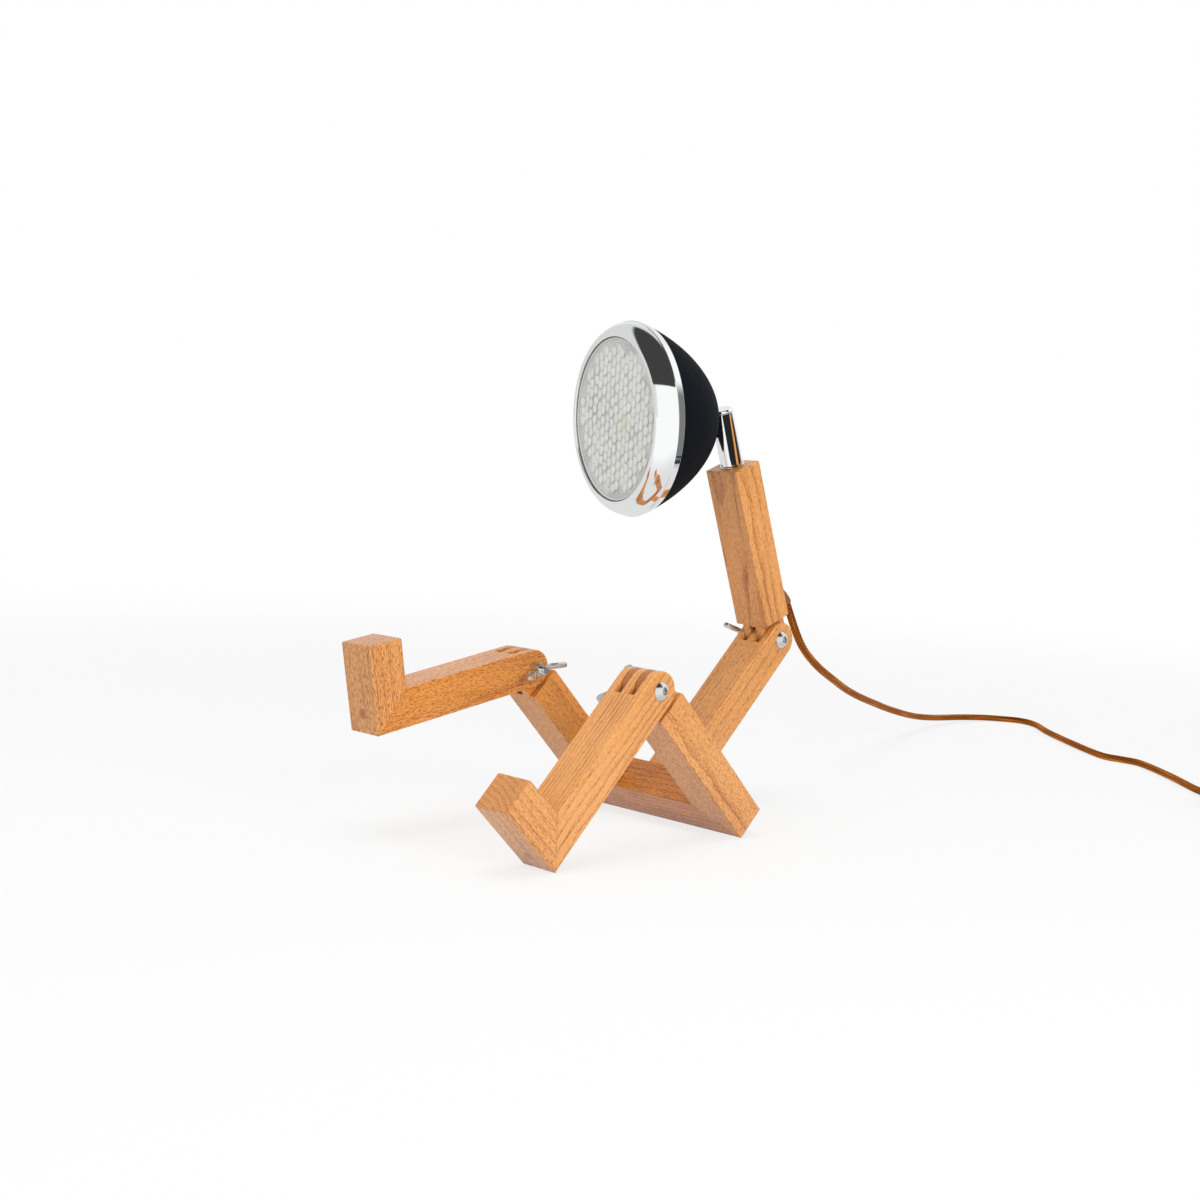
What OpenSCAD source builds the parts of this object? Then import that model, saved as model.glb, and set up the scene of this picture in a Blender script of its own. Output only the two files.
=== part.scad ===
// Desk lamp in the shape of a sitting robot: finger-jointed wooden limbs,
// a chrome neck and a round headlamp for a head.
// +Z is up, the robot looks along -Y and its left side is +X.
// The origin is under the middle of the lamp, on the surface that it sits on.

/* [Wooden limbs] */
// Sideways width of every limb
limb_w = 25; // [20:0.5:32]
// Depth of every limb, in the plane in which it folds
limb_d = 22; // [18:0.5:25]
// Length of every limb, from its pivot to its other end
limb_len = 115; // [100:1:140]
// Width over the two thighs
hip_w = 127; // [115:1:160]
// Reach of a foot from the middle of its shin to the toe
toe_reach = 39; // [28:1:50]

/* [Finger joints] */
// Distance from a pivot to the shoulder beside its fingers
shoulder = 13; // [12.6:0.1:15]
// Radius of the hollow at the root of each slot
slot_r = 16.5; // [16:0.1:18]
// Sideways play between two neighbouring fingers
finger_play = 0.2; // [0.1:0.05:0.4]

/* [Pose at rest] */
// Slope of the thighs above the surface
thigh_rise = 45.5; // [40:0.5:50]
// Slope of the right shin below the horizontal
right_shin_drop = 10; // [0:1:30]
// Lean of the upper torso towards the front
torso_lean = 21; // [5:1:26]
// Turn of the neck to the robot's left
neck_turn = -17; // [-40:1:40]
// Lift of the head above a right angle to the neck
head_tilt = 17; // [0:1:20]

/* [Pivot hardware] */
// Diameter of the pivot bolts
bolt_d = 5; // [4:0.5:8]
// Diameter of the domed bolt heads
bolt_head_d = 11; // [10:0.5:14]
// Height of the domed bolt heads
bolt_head_h = 3; // [2.4:0.1:4]
// Size of the hexagon socket, across flats
socket_af = 3; // [2:0.5:5]
// Length of bolt that stands out of the wood
bolt_out = 10; // [9:0.5:14]
// Radial running clearance of pins and bolts
run_fit = 0.05; // [0.02:0.01:0.09]
// Face gap between pieces that turn on each other
face_gap = 0.1; // [0.05:0.05:0.3]
// Height of a wing nut's hub
hub_h = 6; // [5:0.5:8.5]
// Height of a wing's rounded tip above the hub
wing_rise = 4.5; // [1.5:0.5:6]
// Reach of a wing from the middle of its nut
wing_reach = 15.3; // [13:0.1:18]
// Thickness of a wing
wing_t = 2.4; // [1.8:0.1:3]

/* [Dowels] */
// Diameter of the wooden dowels
dowel_d = 6; // [5:0.5:8]
// Length of the dowel in each foot
foot_dowel_len = 36; // [30:1:50]
// Length of the dowels in the hip frame
frame_dowel_len = 24; // [16:1:26]
// Distance between the two dowels under the torso
dowel_pitch = 12; // [10:1:14]
// Radial glue gap around a dowel
glue_gap = 0.02; // [0.01:0.01:0.05]

/* [Neck] */
// Outer diameter of the neck tube
tube_d = 14; // [12:0.5:16]
// Wall of the neck tube
tube_wall = 1.5; // [1:0.1:2]
// Height of the neck above the torso
neck_h = 36; // [36:0.5:42]
// Height of the tilt axis above the torso
pivot_up = 30; // [28:0.5:30]
// Height of the neck's cap
cap_h = 2; // [1.5:0.1:2.2]
// Diameter of the spigot that turns in the torso
spigot_d = 10; // [8:0.5:11]
// Wall of the spigot
spigot_wall = 2; // [1.5:0.1:2.5]
// Outer diameter of the bush in the torso
bush_d = 13; // [12:0.5:15]
// Depth of the bush in the torso
bush_len = 24; // [18:1:30]
// Thickness of the collar under the neck tube
collar_t = 1.2; // [0.8:0.1:2]
// Diameter of the collar under the neck tube
collar_d = 15; // [14.5:0.1:18]
// Thickness of the snap ring under the bush
snap_t = 1.2; // [0.8:0.1:1.6]
// Diameter of the pin that the head tilts on
tilt_pin_d = 3; // [2.5:0.1:3.5]
// Thickness of the bracket's tongue
tongue_t = 3; // [2:0.1:3.5]
// Height of the bracket's tongue
tongue_h = 7; // [6:0.1:7.2]
// Diameter of the cord's channel in the torso
channel_d = 8; // [7:0.1:10]
// Height of the cord's exit above the waist pivot
exit_up = 28; // [28:0.5:60]

/* [Head] */
// Distance from the tilt axis to the front of the glass
lens_reach = 74.5; // [70:0.5:80]
// Width of the bezel around the glass that shows
rim_width = 9.3; // [8:0.1:12]
// Thickness of the front glass
lens_t = 3; // [2:0.5:4]
// Cover of the bezel over the edge of the glass
lens_cover = 3.6; // [2.5:0.1:4]
// Width of the bezel outside its front lip
slope_width = 6.7; // [5.5:0.1:7.5]
// Height of the bezel's front lip over the glass
lip_h = 1.1; // [0.8:0.1:2]
// Largest radius of the bezel
bezel_r = 57.2; // [56:0.1:60]
// Depth of the bezel from the glass to the shell
bezel_depth = 14.7; // [13:0.1:17]
// Width of the narrow band at the back of the bezel
band_w = 5; // [4:0.1:6]
// Narrowing of that band towards the shell
band_taper = 1.5; // [1:0.1:2]
// Wall of the bezel
bezel_wall = 1.2; // [0.8:0.1:1.4]
// Wall of the shell
shell_wall = 1.4; // [1:0.1:1.8]
// Distance from the tilt axis to the shell's pole
pole_reach = 9.6; // [9.4:0.1:11]
// Outer diameter of the bracket's plate inside the shell
plate_d = 20; // [18:0.5:22]
// Thickness of the bracket's plate inside the shell
plate_t = 2.5; // [2:0.1:3]
// Diameter of the lamp holder
holder_d = 21; // [20:0.5:22]
// Length of the lamp holder
holder_len = 21; // [18:0.5:24]
// Diameter of the capsule bulb
bulb_d = 16; // [14:0.5:18]
// Length of the capsule bulb in front of the holder
bulb_len = 27; // [22:0.5:29]

/* [Cord] */
// Diameter of the textile cord
cord_d = 5; // [4.5:0.1:5.5]
// Radius of the bend in the strain relief
relief_bend = 20; // [20:1:30]
// Length of the strain relief outside the torso
relief_len = 20; // [20:1:24]
// Length of the switch on the cord
switch_len = 60; // [54:1:70]
// Width of the switch on the cord
switch_w = 22; // [20:0.5:26]
// Height of the switch on the cord
switch_h = 16; // [15:0.5:20]
// Wall of the switch's casing
switch_wall = 1.6; // [1.2:0.1:2]
// Length of the switch's rocker
rocker_len = 19; // [16:0.5:22]
// Width of the switch's rocker
rocker_w = 11; // [9:0.5:13]
// Tilt of the rocker to either side
rocker_tilt = 8; // [5:1:10]
// Width of the mains plug
plug_w = 35; // [33:0.5:37]
// Thickness of the mains plug
plug_h = 13.7; // [13:0.1:15]
// Length of the mains plug without its pins
plug_len = 36; // [32:0.5:40]
// Diameter of the plug's pins
prong_d = 4; // [3.9:0.1:4.8]
// Distance between the plug's pins
prong_pitch = 18.6; // [18:0.1:19]
// Length of the plug's pins
prong_len = 19; // [18:0.5:20]

/* [Hidden] */

$fn = 64;
tiny = 0.01;
over = 1; // how far a cutter runs past the face that it cuts

// Wood
half_w = limb_w / 2;
half_d = limb_d / 2;
layer_w = limb_w / 5;
thigh_x = hip_w / 2 - half_w;
shoulder_x = limb_w / 2 - layer_w;
wood = "peru";
wood_dark = "sienna";

// Knees and waist, measured from the bottom arris of the hip frame
knee_y = half_d * sin(thigh_rise) - limb_len * cos(thigh_rise);
knee_z = limb_len * sin(thigh_rise) + half_d * cos(thigh_rise);
waist_y = (limb_d + limb_len) * sin(thigh_rise) - half_w * cos(thigh_rise);
waist_z = half_w * sin(thigh_rise) + (limb_d + limb_len) * cos(thigh_rise);
// The left shin slopes until the arris of its heel meets the surface
left_shin_drop = asin(knee_z / norm([limb_len, half_d])) - atan(half_d / limb_len);

// Neck and head
bore_r = tube_d / 2 - tube_wall;
block_r = bore_r - run_fit;
slot_w = tongue_t + 1;
spigot_grip = 8; // length of the spigot that is pressed into the tube
cap_plug = 2; // length of the cap that is pressed into the tube
snap_grip = 0.6; // depth of the snap ring in the spigot's groove
snap_r = bush_d / 2 - 0.4;
neck_foot = collar_t + face_gap; // the tube starts this far above the torso
spigot_end = bush_len + snap_t + face_gap + 1.5;
lead_r = 1.5; // the thin lead through the neck
lead_off = spigot_d / 2 - spigot_wall - lead_r - 0.2;
shell_front = lens_reach - bezel_depth; // where the bezel meets the shell
band_back_r = bezel_r - band_taper;
shell_r = band_back_r - 0.2;
lens_show_r = bezel_r - rim_width;
lip_r = bezel_r - slope_width;
bezel_step = 0.6; // the narrow band stands this far over the rest of the bezel
spigot_ring_r = band_back_r - bezel_wall - 0.15;
spigot_ring_front = shell_front + band_w + 0.8;
glass_back = lens_reach - lens_t;
glass_r = lens_show_r + lens_cover;
boss_front = pole_reach + shell_wall + 2; // flat seat inside the shell's pole
tongue_root = pole_reach - 0.6; // the tongue is at its full height from here on
plate_front = boss_front + plate_t;
holder_front = plate_front + holder_len;
screw_off = 6.5; // distance of each bracket screw from the axis

// The middle of the lamp, between its outermost points
axis_x = cos(head_tilt) * sin(neck_turn);
left_end = hip_w / 2 + bolt_head_h;
right_end = (shell_front + band_w) * axis_x - bezel_r * sqrt(1 - axis_x * axis_x);
front_end = knee_y - limb_len * cos(right_shin_drop) - toe_reach * sin(right_shin_drop);
back_end = waist_y + half_d;
mid = [(left_end + right_end) / 2, (front_end + back_end) / 2, 0];

// Cord
cord_r = cord_d / 2;
relief_root_r = channel_d / 2 - glue_gap;
relief_tip_r = cord_r + 0.6;
relief_plug = 6; // length of the strain relief inside the torso
exit_y = waist_y + half_d * cos(torso_lean) - exit_up * sin(torso_lean);
exit_z = waist_z + half_d * sin(torso_lean) + exit_up * cos(torso_lean);
exit_at = [0, exit_y, exit_z] - mid;
relief_straight = 1.5; // the sleeve's straight start behind the torso
relief_tip = relief_at(relief_len);
cord_sides = 10;
// Points of the cord between the strain relief and the switch, chosen by hand
cord_route = [[3, 158.5, 118], [2, 166.5, 106.5], [0, 175.5, 97.5], [-4, 189, 89], [-12.5, 212, 79],
    [-26.5, 246, 67.5], [-42, 281.5, 56.5], [-57.5, 319, 46.5], [-74.5, 361, 36.5],
    [-88.5, 395.5, 28.5], [-101.5, 432, 20.5], [-113, 467.5, 13.5], [-121, 497.5, 9],
    [-126, 525.5, 6], [-126, 556, 4], [-120, 577.5, 3], [-109.5, 590.5, 2.5],
    [-93, 597, 2.5], [-74, 589.5, 2.5], [-45.5, 562.5, 2.5], [2.5, 524.5, 2.5],
    [40, 498.5, 2.5], [58, 496.5, 2.5], [76, 493, 2.5], [115.5, 462.5, 2.5], [155, 428, 2.5]];
// The switch, the coil and the plug lie beside each other, turned by lay_turn
lay_turn = -41;
switch_at = [214.5, 376.5];
coil_pitch = 5.1;
coil_turns = 4.5;
coil_in_r = 23;
coil_out_r = coil_in_r + coil_pitch * coil_turns / 2;
coil_s = 59.5; // from the middle of the switch to the coil, along the switch
plug_s = 2.5; // from the middle of the switch to the middle of the plug, along the switch
along = [cos(lay_turn), sin(lay_turn)];
aside = [-sin(lay_turn), cos(lay_turn)];
coil_at = switch_at + coil_s * along + coil_out_r * aside;
plug_at = switch_at + plug_s * along + 2 * coil_out_r * aside;
cord_z = switch_h / 2; // height of the cord where it enters the switch
boot_len = 8; // tapered cord entry of the plug

// Points and tangents along the strain relief, which bends down in the plane X = 0
function relief_angle(s) = max(0, s - relief_straight) / relief_bend * 180 / PI;
function relief_at(s) = exit_at + [0,
    min(s, relief_straight) + relief_bend * sin(relief_angle(s)),
    -relief_bend * (1 - cos(relief_angle(s)))];
function relief_dir(s) = [0, cos(relief_angle(s)), -sin(relief_angle(s))];

// A smooth curve through points p: position at t from p[i] to p[i + 1]
function pick(p, i) = p[max(0, min(len(p) - 1, i))];
function curve_at(p, i, t) =
    let (a = pick(p, i - 1), b = pick(p, i), c = pick(p, i + 1), d = pick(p, i + 2))
    0.5 * (2 * b + (c - a) * t + (2 * a - 5 * b + 4 * c - d) * t * t + (3 * b - a - 3 * c + d) * t * t * t);
function curve(p, steps) = concat(
    [for (i = [0:len(p) - 2]) for (k = [0:steps - 1]) curve_at(p, i, k / steps)], [p[len(p) - 1]]);
function unit(v) = v / norm(v);

// A ring of the tube: centre c, direction d, radius r
function ring(c, d, r, n) = let (side = unit(cross(d, [0, 0, 1])), up = cross(side, d))
    [for (k = [0:n - 1]) c + r * (cos(360 * k / n) * side + sin(360 * k / n) * up)];
function tangent(p, i) = unit(pick(p, i + 1) - pick(p, i - 1));

// One closed tube through the points, with a radius and a direction for each of them
module tube(points, radii, dirs, n) {
    rings = len(points);
    verts = [for (i = [0:rings - 1]) each ring(points[i], dirs[i], radii[i], n)];
    walls = [for (i = [0:rings - 2]) for (k = [0:n - 1])
        [i * n + k, i * n + (k + 1) % n, (i + 1) * n + (k + 1) % n, (i + 1) * n + k]];
    first = [for (k = [0:n - 1]) n - 1 - k];
    last = [for (k = [0:n - 1]) (rings - 1) * n + k];
    polyhedron(points = verts, faces = concat([first], walls, [last]), convexity = 10);
}

module cord_tube(points, first_dir, last_dir) {
    count = len(points);
    dirs = [for (i = [0:count - 1]) i == 0 ? first_dir : i == count - 1 ? last_dir : tangent(points, i)];
    tube(points, [for (p = points) cord_r], dirs, cord_sides);
}

// Points of a cubic Bezier curve
function bezier(p, n) = [for (k = [0:n]) let (t = k / n, s = 1 - t)
    s * s * s * p[0] + 3 * s * s * t * p[1] + 3 * s * t * t * p[2] + t * t * t * p[3]];

// Frames: each puts its children at a joint, with Z along the limb
module row_frame() translate(-mid) children();
module hip_frame() row_frame() rotate([90 - thigh_rise, 0, 0]) children();
module shin_frame(x, drop) row_frame() translate([x, knee_y, knee_z]) rotate([90 + drop, 0, 0]) children();
module torso_frame() row_frame() translate([0, waist_y, waist_z]) rotate([torso_lean, 0, 0]) children();
module neck_frame() torso_frame() translate([0, 0, limb_len]) rotate([0, 0, neck_turn]) children();
module head_frame() neck_frame() translate([0, 0, pivot_up]) rotate([90 - head_tilt, 0, 0]) children();
module lay_frame(at) translate([at[0], at[1], 0]) rotate([0, 0, lay_turn]) children();

// A limb with its pivot at the origin and its round end below it
module limb_blank(length) {
    translate([-half_w, -half_d, 0])
        cube([limb_w, limb_d, length]);
    rotate([0, 90, 0])
        cylinder(r = half_d, h = limb_w, center = true);
}

module layer_cylinder(x, width, r) {
    translate([x, 0, 0])
        rotate([0, 90, 0])
            cylinder(r = r, h = width, center = true);
}

module pivot_bore() {
    layer_cylinder(0, limb_w + 2 * over, bolt_d / 2 + run_fit);
}

// Limb end with two fingers between the three of its neighbour
module two_finger_limb(length) {
    difference() {
        limb_blank(length);
        for (side = [-1, 1])
            translate([side * (shoulder_x + half_w) / 2, 0, 0])
                outer_slot(side);
        layer_cylinder(0, layer_w + finger_play, slot_r);
        pivot_bore();
    }
}

module outer_slot(side) {
    width = half_w - shoulder_x + finger_play / 2 + over;
    shift = side * (over - finger_play / 2) / 2;
    translate([shift - width / 2, -half_d - over, -half_d - over])
        cube([width, limb_d + 2 * over, half_d + over + shoulder]);
}

// Limb end with three fingers
module three_finger_limb(length) {
    difference() {
        limb_blank(length);
        for (side = [-1, 1])
            layer_cylinder(side * layer_w, layer_w + finger_play, slot_r);
        pivot_bore();
    }
}

// Thigh, with its seat end at the origin of the hip frame and mitred to the crossbeam
module thigh(side) {
    color(wood)
        hip_frame()
            difference() {
                translate([side * thigh_x, half_d, limb_len])
                    rotate([180, 0, 0])
                        two_finger_limb(limb_len);
                mitre_cut(side, true);
                mitre_dowel(side, glue_gap);
            }
}

// Wedge on one side of a corner's mitre plane: the one that the thigh loses, or the crossbeam
module mitre_cut(side, from_thigh) {
    out = hip_w / 2 + over;
    inner = hip_w / 2 - limb_w - over;
    far = limb_w + over;
    translate([0, limb_d + over, 0])
        rotate([90, 0, 0])
            linear_extrude(limb_d + 2 * over)
                scale([side, 1])
                    polygon(from_thigh ? [[out, -over], [inner, far], [inner, -over]]
                        : [[out, -over], [out, far], [inner, far]]);
}

// Dowel across the mitre plane
module mitre_dowel(side, gap) {
    translate([side * thigh_x, half_d, half_w])
        rotate([0, side * 45, 0])
            cylinder(d = dowel_d + 2 * gap, h = frame_dowel_len + (gap > 0 ? 0.2 : 0), center = true);
}

module torso_dowel(side, gap) {
    translate([side * dowel_pitch / 2, limb_d, half_w])
        rotate([90, 0, 0])
            cylinder(d = dowel_d + 2 * gap, h = frame_dowel_len + (gap > 0 ? 0.2 : 0), center = true);
}

module hip_crossbeam() {
    color(wood_dark)
        hip_frame()
            difference() {
                translate([-hip_w / 2, 0, 0])
                    cube([hip_w, limb_d, limb_w]);
                for (side = [-1, 1]) {
                    mitre_cut(side, false);
                    mitre_dowel(side, glue_gap);
                    torso_dowel(side, glue_gap);
                }
            }
}

module lower_torso() {
    color(wood)
        hip_frame()
            difference() {
                translate([0, limb_d + limb_len, half_w])
                    rotate([90, 0, 0])
                        three_finger_limb(limb_len);
                for (side = [-1, 1])
                    torso_dowel(side, glue_gap);
            }
}

module mitre_dowels() {
    color("tan")
        hip_frame()
            for (side = [-1, 1])
                mitre_dowel(side, 0);
}

module torso_dowels() {
    color("tan")
        hip_frame()
            for (side = [-1, 1])
                torso_dowel(side, 0);
}

// Shin and foot meet at a mitre from the heel to the instep
module shin(side, drop) {
    color(wood)
        shin_frame(side * thigh_x, drop)
            difference() {
                three_finger_limb(limb_len);
                translate([-half_w - over, -half_d, limb_len])
                    rotate([-45, 0, 0])
                        cube([limb_w + 2 * over, 2 * limb_d, limb_d]);
                foot_dowel_hole();
            }
}

module foot(side, drop) {
    color(wood)
        shin_frame(side * thigh_x, drop)
            difference() {
                translate([-half_w, -half_d, limb_len - limb_d])
                    cube([limb_w, half_d + toe_reach, limb_d]);
                translate([-half_w - over, -half_d, limb_len])
                    rotate([-45, 0, 0])
                        translate([0, -limb_d, -2 * limb_d])
                            cube([limb_w + 2 * over, 3 * limb_d, 2 * limb_d]);
                foot_dowel_hole();
            }
}

module foot_dowel_hole() {
    translate([0, 0, limb_len - foot_dowel_len - 0.2])
        cylinder(d = dowel_d + 2 * glue_gap, h = foot_dowel_len + over);
}

module foot_dowel(side, drop) {
    color("firebrick")
        shin_frame(side * thigh_x, drop)
            translate([0, 0, limb_len - foot_dowel_len])
                cylinder(d = dowel_d, h = foot_dowel_len);
}

// Domed bolt: its head lies on X = 0 and its shank runs to -X
module pivot_bolt() {
    head_r = bolt_head_d / 2;
    dome_r = (head_r * head_r + bolt_head_h * bolt_head_h) / (2 * bolt_head_h);
    color("silver")
        rotate([0, 90, 0]) {
            difference() {
                intersection() {
                    cylinder(r = head_r, h = bolt_head_h);
                    translate([0, 0, bolt_head_h - dome_r])
                        sphere(r = dome_r);
                }
                translate([0, 0, bolt_head_h * 0.3])
                    cylinder(d = socket_af / cos(30), h = bolt_head_h, $fn = 6);
            }
            translate([0, 0, -limb_w - bolt_out])
                cylinder(d = bolt_d, h = limb_w + bolt_out + tiny);
        }
}

// Outline of one wing, axis to the right and height upwards
module wing_outline(inset) {
    tip_r = 2.7 - inset;
    root_r = 1.6 - inset;
    hull() {
        translate([wing_reach - 2.7, hub_h + wing_rise])
            circle(r = tip_r, $fn = 32);
        translate([3.6, hub_h - 2])
            circle(r = root_r, $fn = 24);
        translate([4, 2.6])
            circle(r = root_r, $fn = 24);
    }
}

// Wing nut: bears on Z = 0 and its hub rises to +Z, its wings lie along X
module wing_nut() {
    recess = 0.6;
    color("gainsboro")
        difference() {
            union() {
                cylinder(r1 = bolt_d / 2 + 1.8, r2 = bolt_d / 2 + 1.1, h = hub_h);
                for (turn = [0, 180])
                    rotate([0, 0, turn])
                        rotate([90, 0, 0])
                            linear_extrude(wing_t, center = true)
                                wing_outline(0);
            }
            for (turn = [0, 180])
                rotate([0, 0, turn])
                    for (face = [-1, 1])
                        translate([0, face * (wing_t / 2 - recess / 2 + tiny), 0])
                            rotate([90, 0, 0])
                                linear_extrude(recess, center = true)
                                    wing_recess();
            translate([0, 0, -over])
                cylinder(d = bolt_d + 2 * run_fit, h = 3 * hub_h);
        }
}

// Shallow oval in the flat of a wing
module wing_recess() {
    translate([wing_reach - 6.2, hub_h + 0.9])
        rotate(-50)
            scale([0.55, 1])
                circle(r = 2.6, $fn = 32);
}

// A knee's or the waist's nut, side is where it stands and turn is its angle at rest
module placed_nut(side, turn) {
    rotate([turn, 0, 0])
        rotate([0, side * 90, 0])
            translate([0, 0, face_gap])
                rotate([0, 0, 90])
                    wing_nut();
}

module knee_bolt(side, drop) {
    shin_frame(side * thigh_x, drop)
        translate([side * half_w, 0, 0])
            mirror([side < 0 ? 1 : 0, 0, 0])
                pivot_bolt();
}

module knee_nut(side, drop, turn) {
    shin_frame(side * thigh_x, drop)
        translate([-side * half_w, 0, 0])
            placed_nut(-side, turn);
}

module waist_bolt() {
    hip_frame()
        translate([half_w, limb_d + limb_len, half_w])
            pivot_bolt();
}

module waist_wing_nut() {
    hip_frame()
        translate([-half_w, limb_d + limb_len, half_w])
            placed_nut(-1, -72);
}

module upper_torso() {
    bend_up = exit_up + half_d * tan(torso_lean);
    color(wood)
        torso_frame()
            difference() {
                two_finger_limb(limb_len);
                translate([0, 0, limb_len - spigot_end - 1])
                    cylinder(d = bush_d + 2 * glue_gap, h = spigot_end + 1 + over);
                translate([0, 0, bend_up - cord_d])
                    cylinder(d = channel_d + 1, h = limb_len - bend_up);
                translate([0, half_d, exit_up])
                    rotate([-90 - torso_lean, 0, 0])
                        translate([0, 0, -half_d / cos(torso_lean)])
                            cylinder(d = channel_d, h = limb_d);
            }
}

module neck_bush() {
    color("goldenrod")
        torso_frame()
            translate([0, 0, limb_len - bush_len])
                difference() {
                    cylinder(d = bush_d, h = bush_len);
                    translate([0, 0, -over])
                        cylinder(d = spigot_d + 2 * run_fit, h = bush_len + 2 * over);
                }
}

module neck_collar() {
    color("gainsboro")
        torso_frame()
            translate([0, 0, limb_len])
                difference() {
                    cylinder(d = collar_d, h = collar_t);
                    translate([0, 0, -over])
                        cylinder(d = spigot_d + 2 * run_fit, h = collar_t + 2 * over);
                }
}

// The cord's sheath inside the torso, from the strain relief up to the spigot
module torso_lead() {
    bend_up = exit_up + half_d * tan(torso_lean);
    run = half_d / cos(torso_lean) - relief_plug;
    color("saddlebrown")
        torso_frame() {
            translate([0, half_d, exit_up])
                rotate([-90 - torso_lean, 0, 0])
                    translate([0, 0, -half_d / cos(torso_lean)])
                        cylinder(r = cord_r, h = run);
            translate([0, 0, bend_up])
                sphere(r = cord_r + 0.2);
            translate([0, 0, bend_up])
                cylinder(r = cord_r, h = limb_len - spigot_end - 0.3 - bend_up);
        }
}

// Sleeve that is plugged into the torso and bends down behind it
module strain_relief() {
    steps = 10;
    stations = [-relief_plug, for (k = [0:steps]) relief_len * k / steps];
    slope = (relief_tip_r - relief_root_r) / relief_len;
    color("black")
        tube([for (s = stations) relief_at(s)], [for (s = stations) relief_root_r + slope * max(0, s)],
            [for (s = stations) relief_dir(s)], 24);
}

module neck_tube() {
    top = neck_h - cap_h;
    color("whitesmoke")
        neck_frame()
            difference() {
                translate([0, 0, neck_foot])
                    cylinder(d = tube_d, h = top - neck_foot);
                cylinder(r = bore_r, h = neck_h);
                translate([-slot_w / 2, -tube_d, pivot_up - tongue_h * 1.4])
                    cube([slot_w, tube_d, tongue_h * 3]);
            }
}

module neck_cap() {
    groove = 0.5;
    color("whitesmoke")
        neck_frame()
            translate([0, 0, neck_h - cap_h]) {
                cylinder(r = tube_d / 2 - groove, h = groove + tiny);
                translate([0, 0, groove])
                    cylinder(d1 = tube_d, d2 = tube_d - 1.6, h = cap_h - groove);
                difference() {
                    translate([0, 0, -cap_plug])
                        cylinder(r = block_r, h = cap_plug + tiny);
                    translate([-tongue_t / 2 - run_fit, -tube_d, -cap_plug - over])
                        cube([tongue_t + 2 * run_fit, tube_d + tongue_h / 2 + 0.2, cap_plug + over]);
                }
            }
}

module neck_spigot() {
    color("gainsboro")
        neck_frame()
            difference() {
                union() {
                    translate([0, 0, -spigot_end])
                        cylinder(d = spigot_d, h = spigot_end + neck_foot + tiny);
                    translate([0, 0, neck_foot])
                        cylinder(r = bore_r - glue_gap, h = spigot_grip);
                }
                translate([0, 0, -spigot_end - over])
                    cylinder(r = spigot_d / 2 - spigot_wall, h = spigot_end + spigot_grip + 10);
                translate([0, 0, -bush_len - face_gap - snap_t])
                    difference() {
                        cylinder(d = spigot_d + 2, h = snap_t);
                        cylinder(d = spigot_d - 2 * snap_grip, h = snap_t);
                    }
            }
}

module snap_ring() {
    color("dimgray")
        neck_frame()
            translate([0, 0, -bush_len - face_gap - snap_t + tiny])
                difference() {
                    cylinder(r = snap_r, h = snap_t - 2 * tiny);
                    translate([0, 0, -over])
                        cylinder(d = spigot_d - 2 * snap_grip + 0.04, h = snap_t + 2 * over);
                    translate([-1, 0, -over])
                        cube([2, bush_d, snap_t + 2 * over]);
                }
}

// Slotted block in the top of the tube, which holds the tilt pin
module pivot_block() {
    low = pivot_up - 5;
    color("darkgray")
        neck_frame()
            difference() {
                translate([0, 0, low])
                    cylinder(r = block_r, h = neck_h - cap_h - cap_plug - low);
                translate([-tongue_t / 2 - run_fit, -tube_d, 0])
                    cube([tongue_t + 2 * run_fit, tube_d + tongue_h / 2 + 0.2, 2 * neck_h]);
                translate([0, 0, pivot_up])
                    rotate([0, 90, 0])
                        cylinder(d = tilt_pin_d + 2 * glue_gap, h = 2 * tube_d, center = true);
            }
}

module tilt_pin() {
    reach = 2 * sqrt(block_r * block_r - tilt_pin_d * tilt_pin_d / 4) - 0.1;
    color("silver")
        neck_frame()
            translate([0, 0, pivot_up])
                rotate([0, 90, 0])
                    cylinder(d = tilt_pin_d, h = reach, center = true);
}

module neck_lead() {
    low = -spigot_end;
    color("dimgray")
        neck_frame()
            translate([0, lead_off, low])
                cylinder(r = lead_r, h = pivot_up - 5 - 0.3 - low);
}

// Bracket: a tongue that turns on the pin, and a plate inside the shell
module tilt_bracket() {
    color("darkgray")
        head_frame()
            difference() {
                union() {
                    rotate([0, 90, 0])
                        cylinder(d = tongue_h, h = tongue_t, center = true);
                    translate([-tongue_t / 2, -tongue_h / 2, 0])
                        cube([tongue_t, tongue_h / 2 + 0.5, boss_front + tiny]);
                    translate([-tongue_t / 2, -tongue_h / 2, tongue_root])
                        cube([tongue_t, tongue_h, boss_front + tiny - tongue_root]);
                    translate([0, 0, boss_front])
                        cylinder(d = plate_d, h = plate_t);
                }
                rotate([0, 90, 0])
                    cylinder(d = tilt_pin_d + 2 * run_fit, h = 2 * tongue_t, center = true);
                for (side = [-1, 1])
                    translate([side * screw_off, 0, 0])
                        bracket_screw(0.03);
                translate([0, screw_off, boss_front - over])
                    cylinder(r = lead_r + 0.1, h = plate_t + 2 * over);
                translate([0, 0, boss_front - 4])
                    cylinder(d = 2.4, h = plate_t + 4 + over);
            }
}

// Countersunk screw, flush with the front of the bracket's plate
module bracket_screw(gap) {
    translate([0, 0, plate_front - 1.6])
        cylinder(r1 = 1.5 + gap, r2 = 2.8 + gap, h = 1.6 + (gap > 0 ? tiny : 0));
    translate([0, 0, boss_front - 2.6])
        cylinder(r = 1.5 + gap, h = plate_t + 1.1);
}

module bracket_screws() {
    color("silver")
        head_frame()
            for (side = [-1, 1])
                translate([side * screw_off, 0, 0])
                    bracket_screw(0);
}

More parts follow.
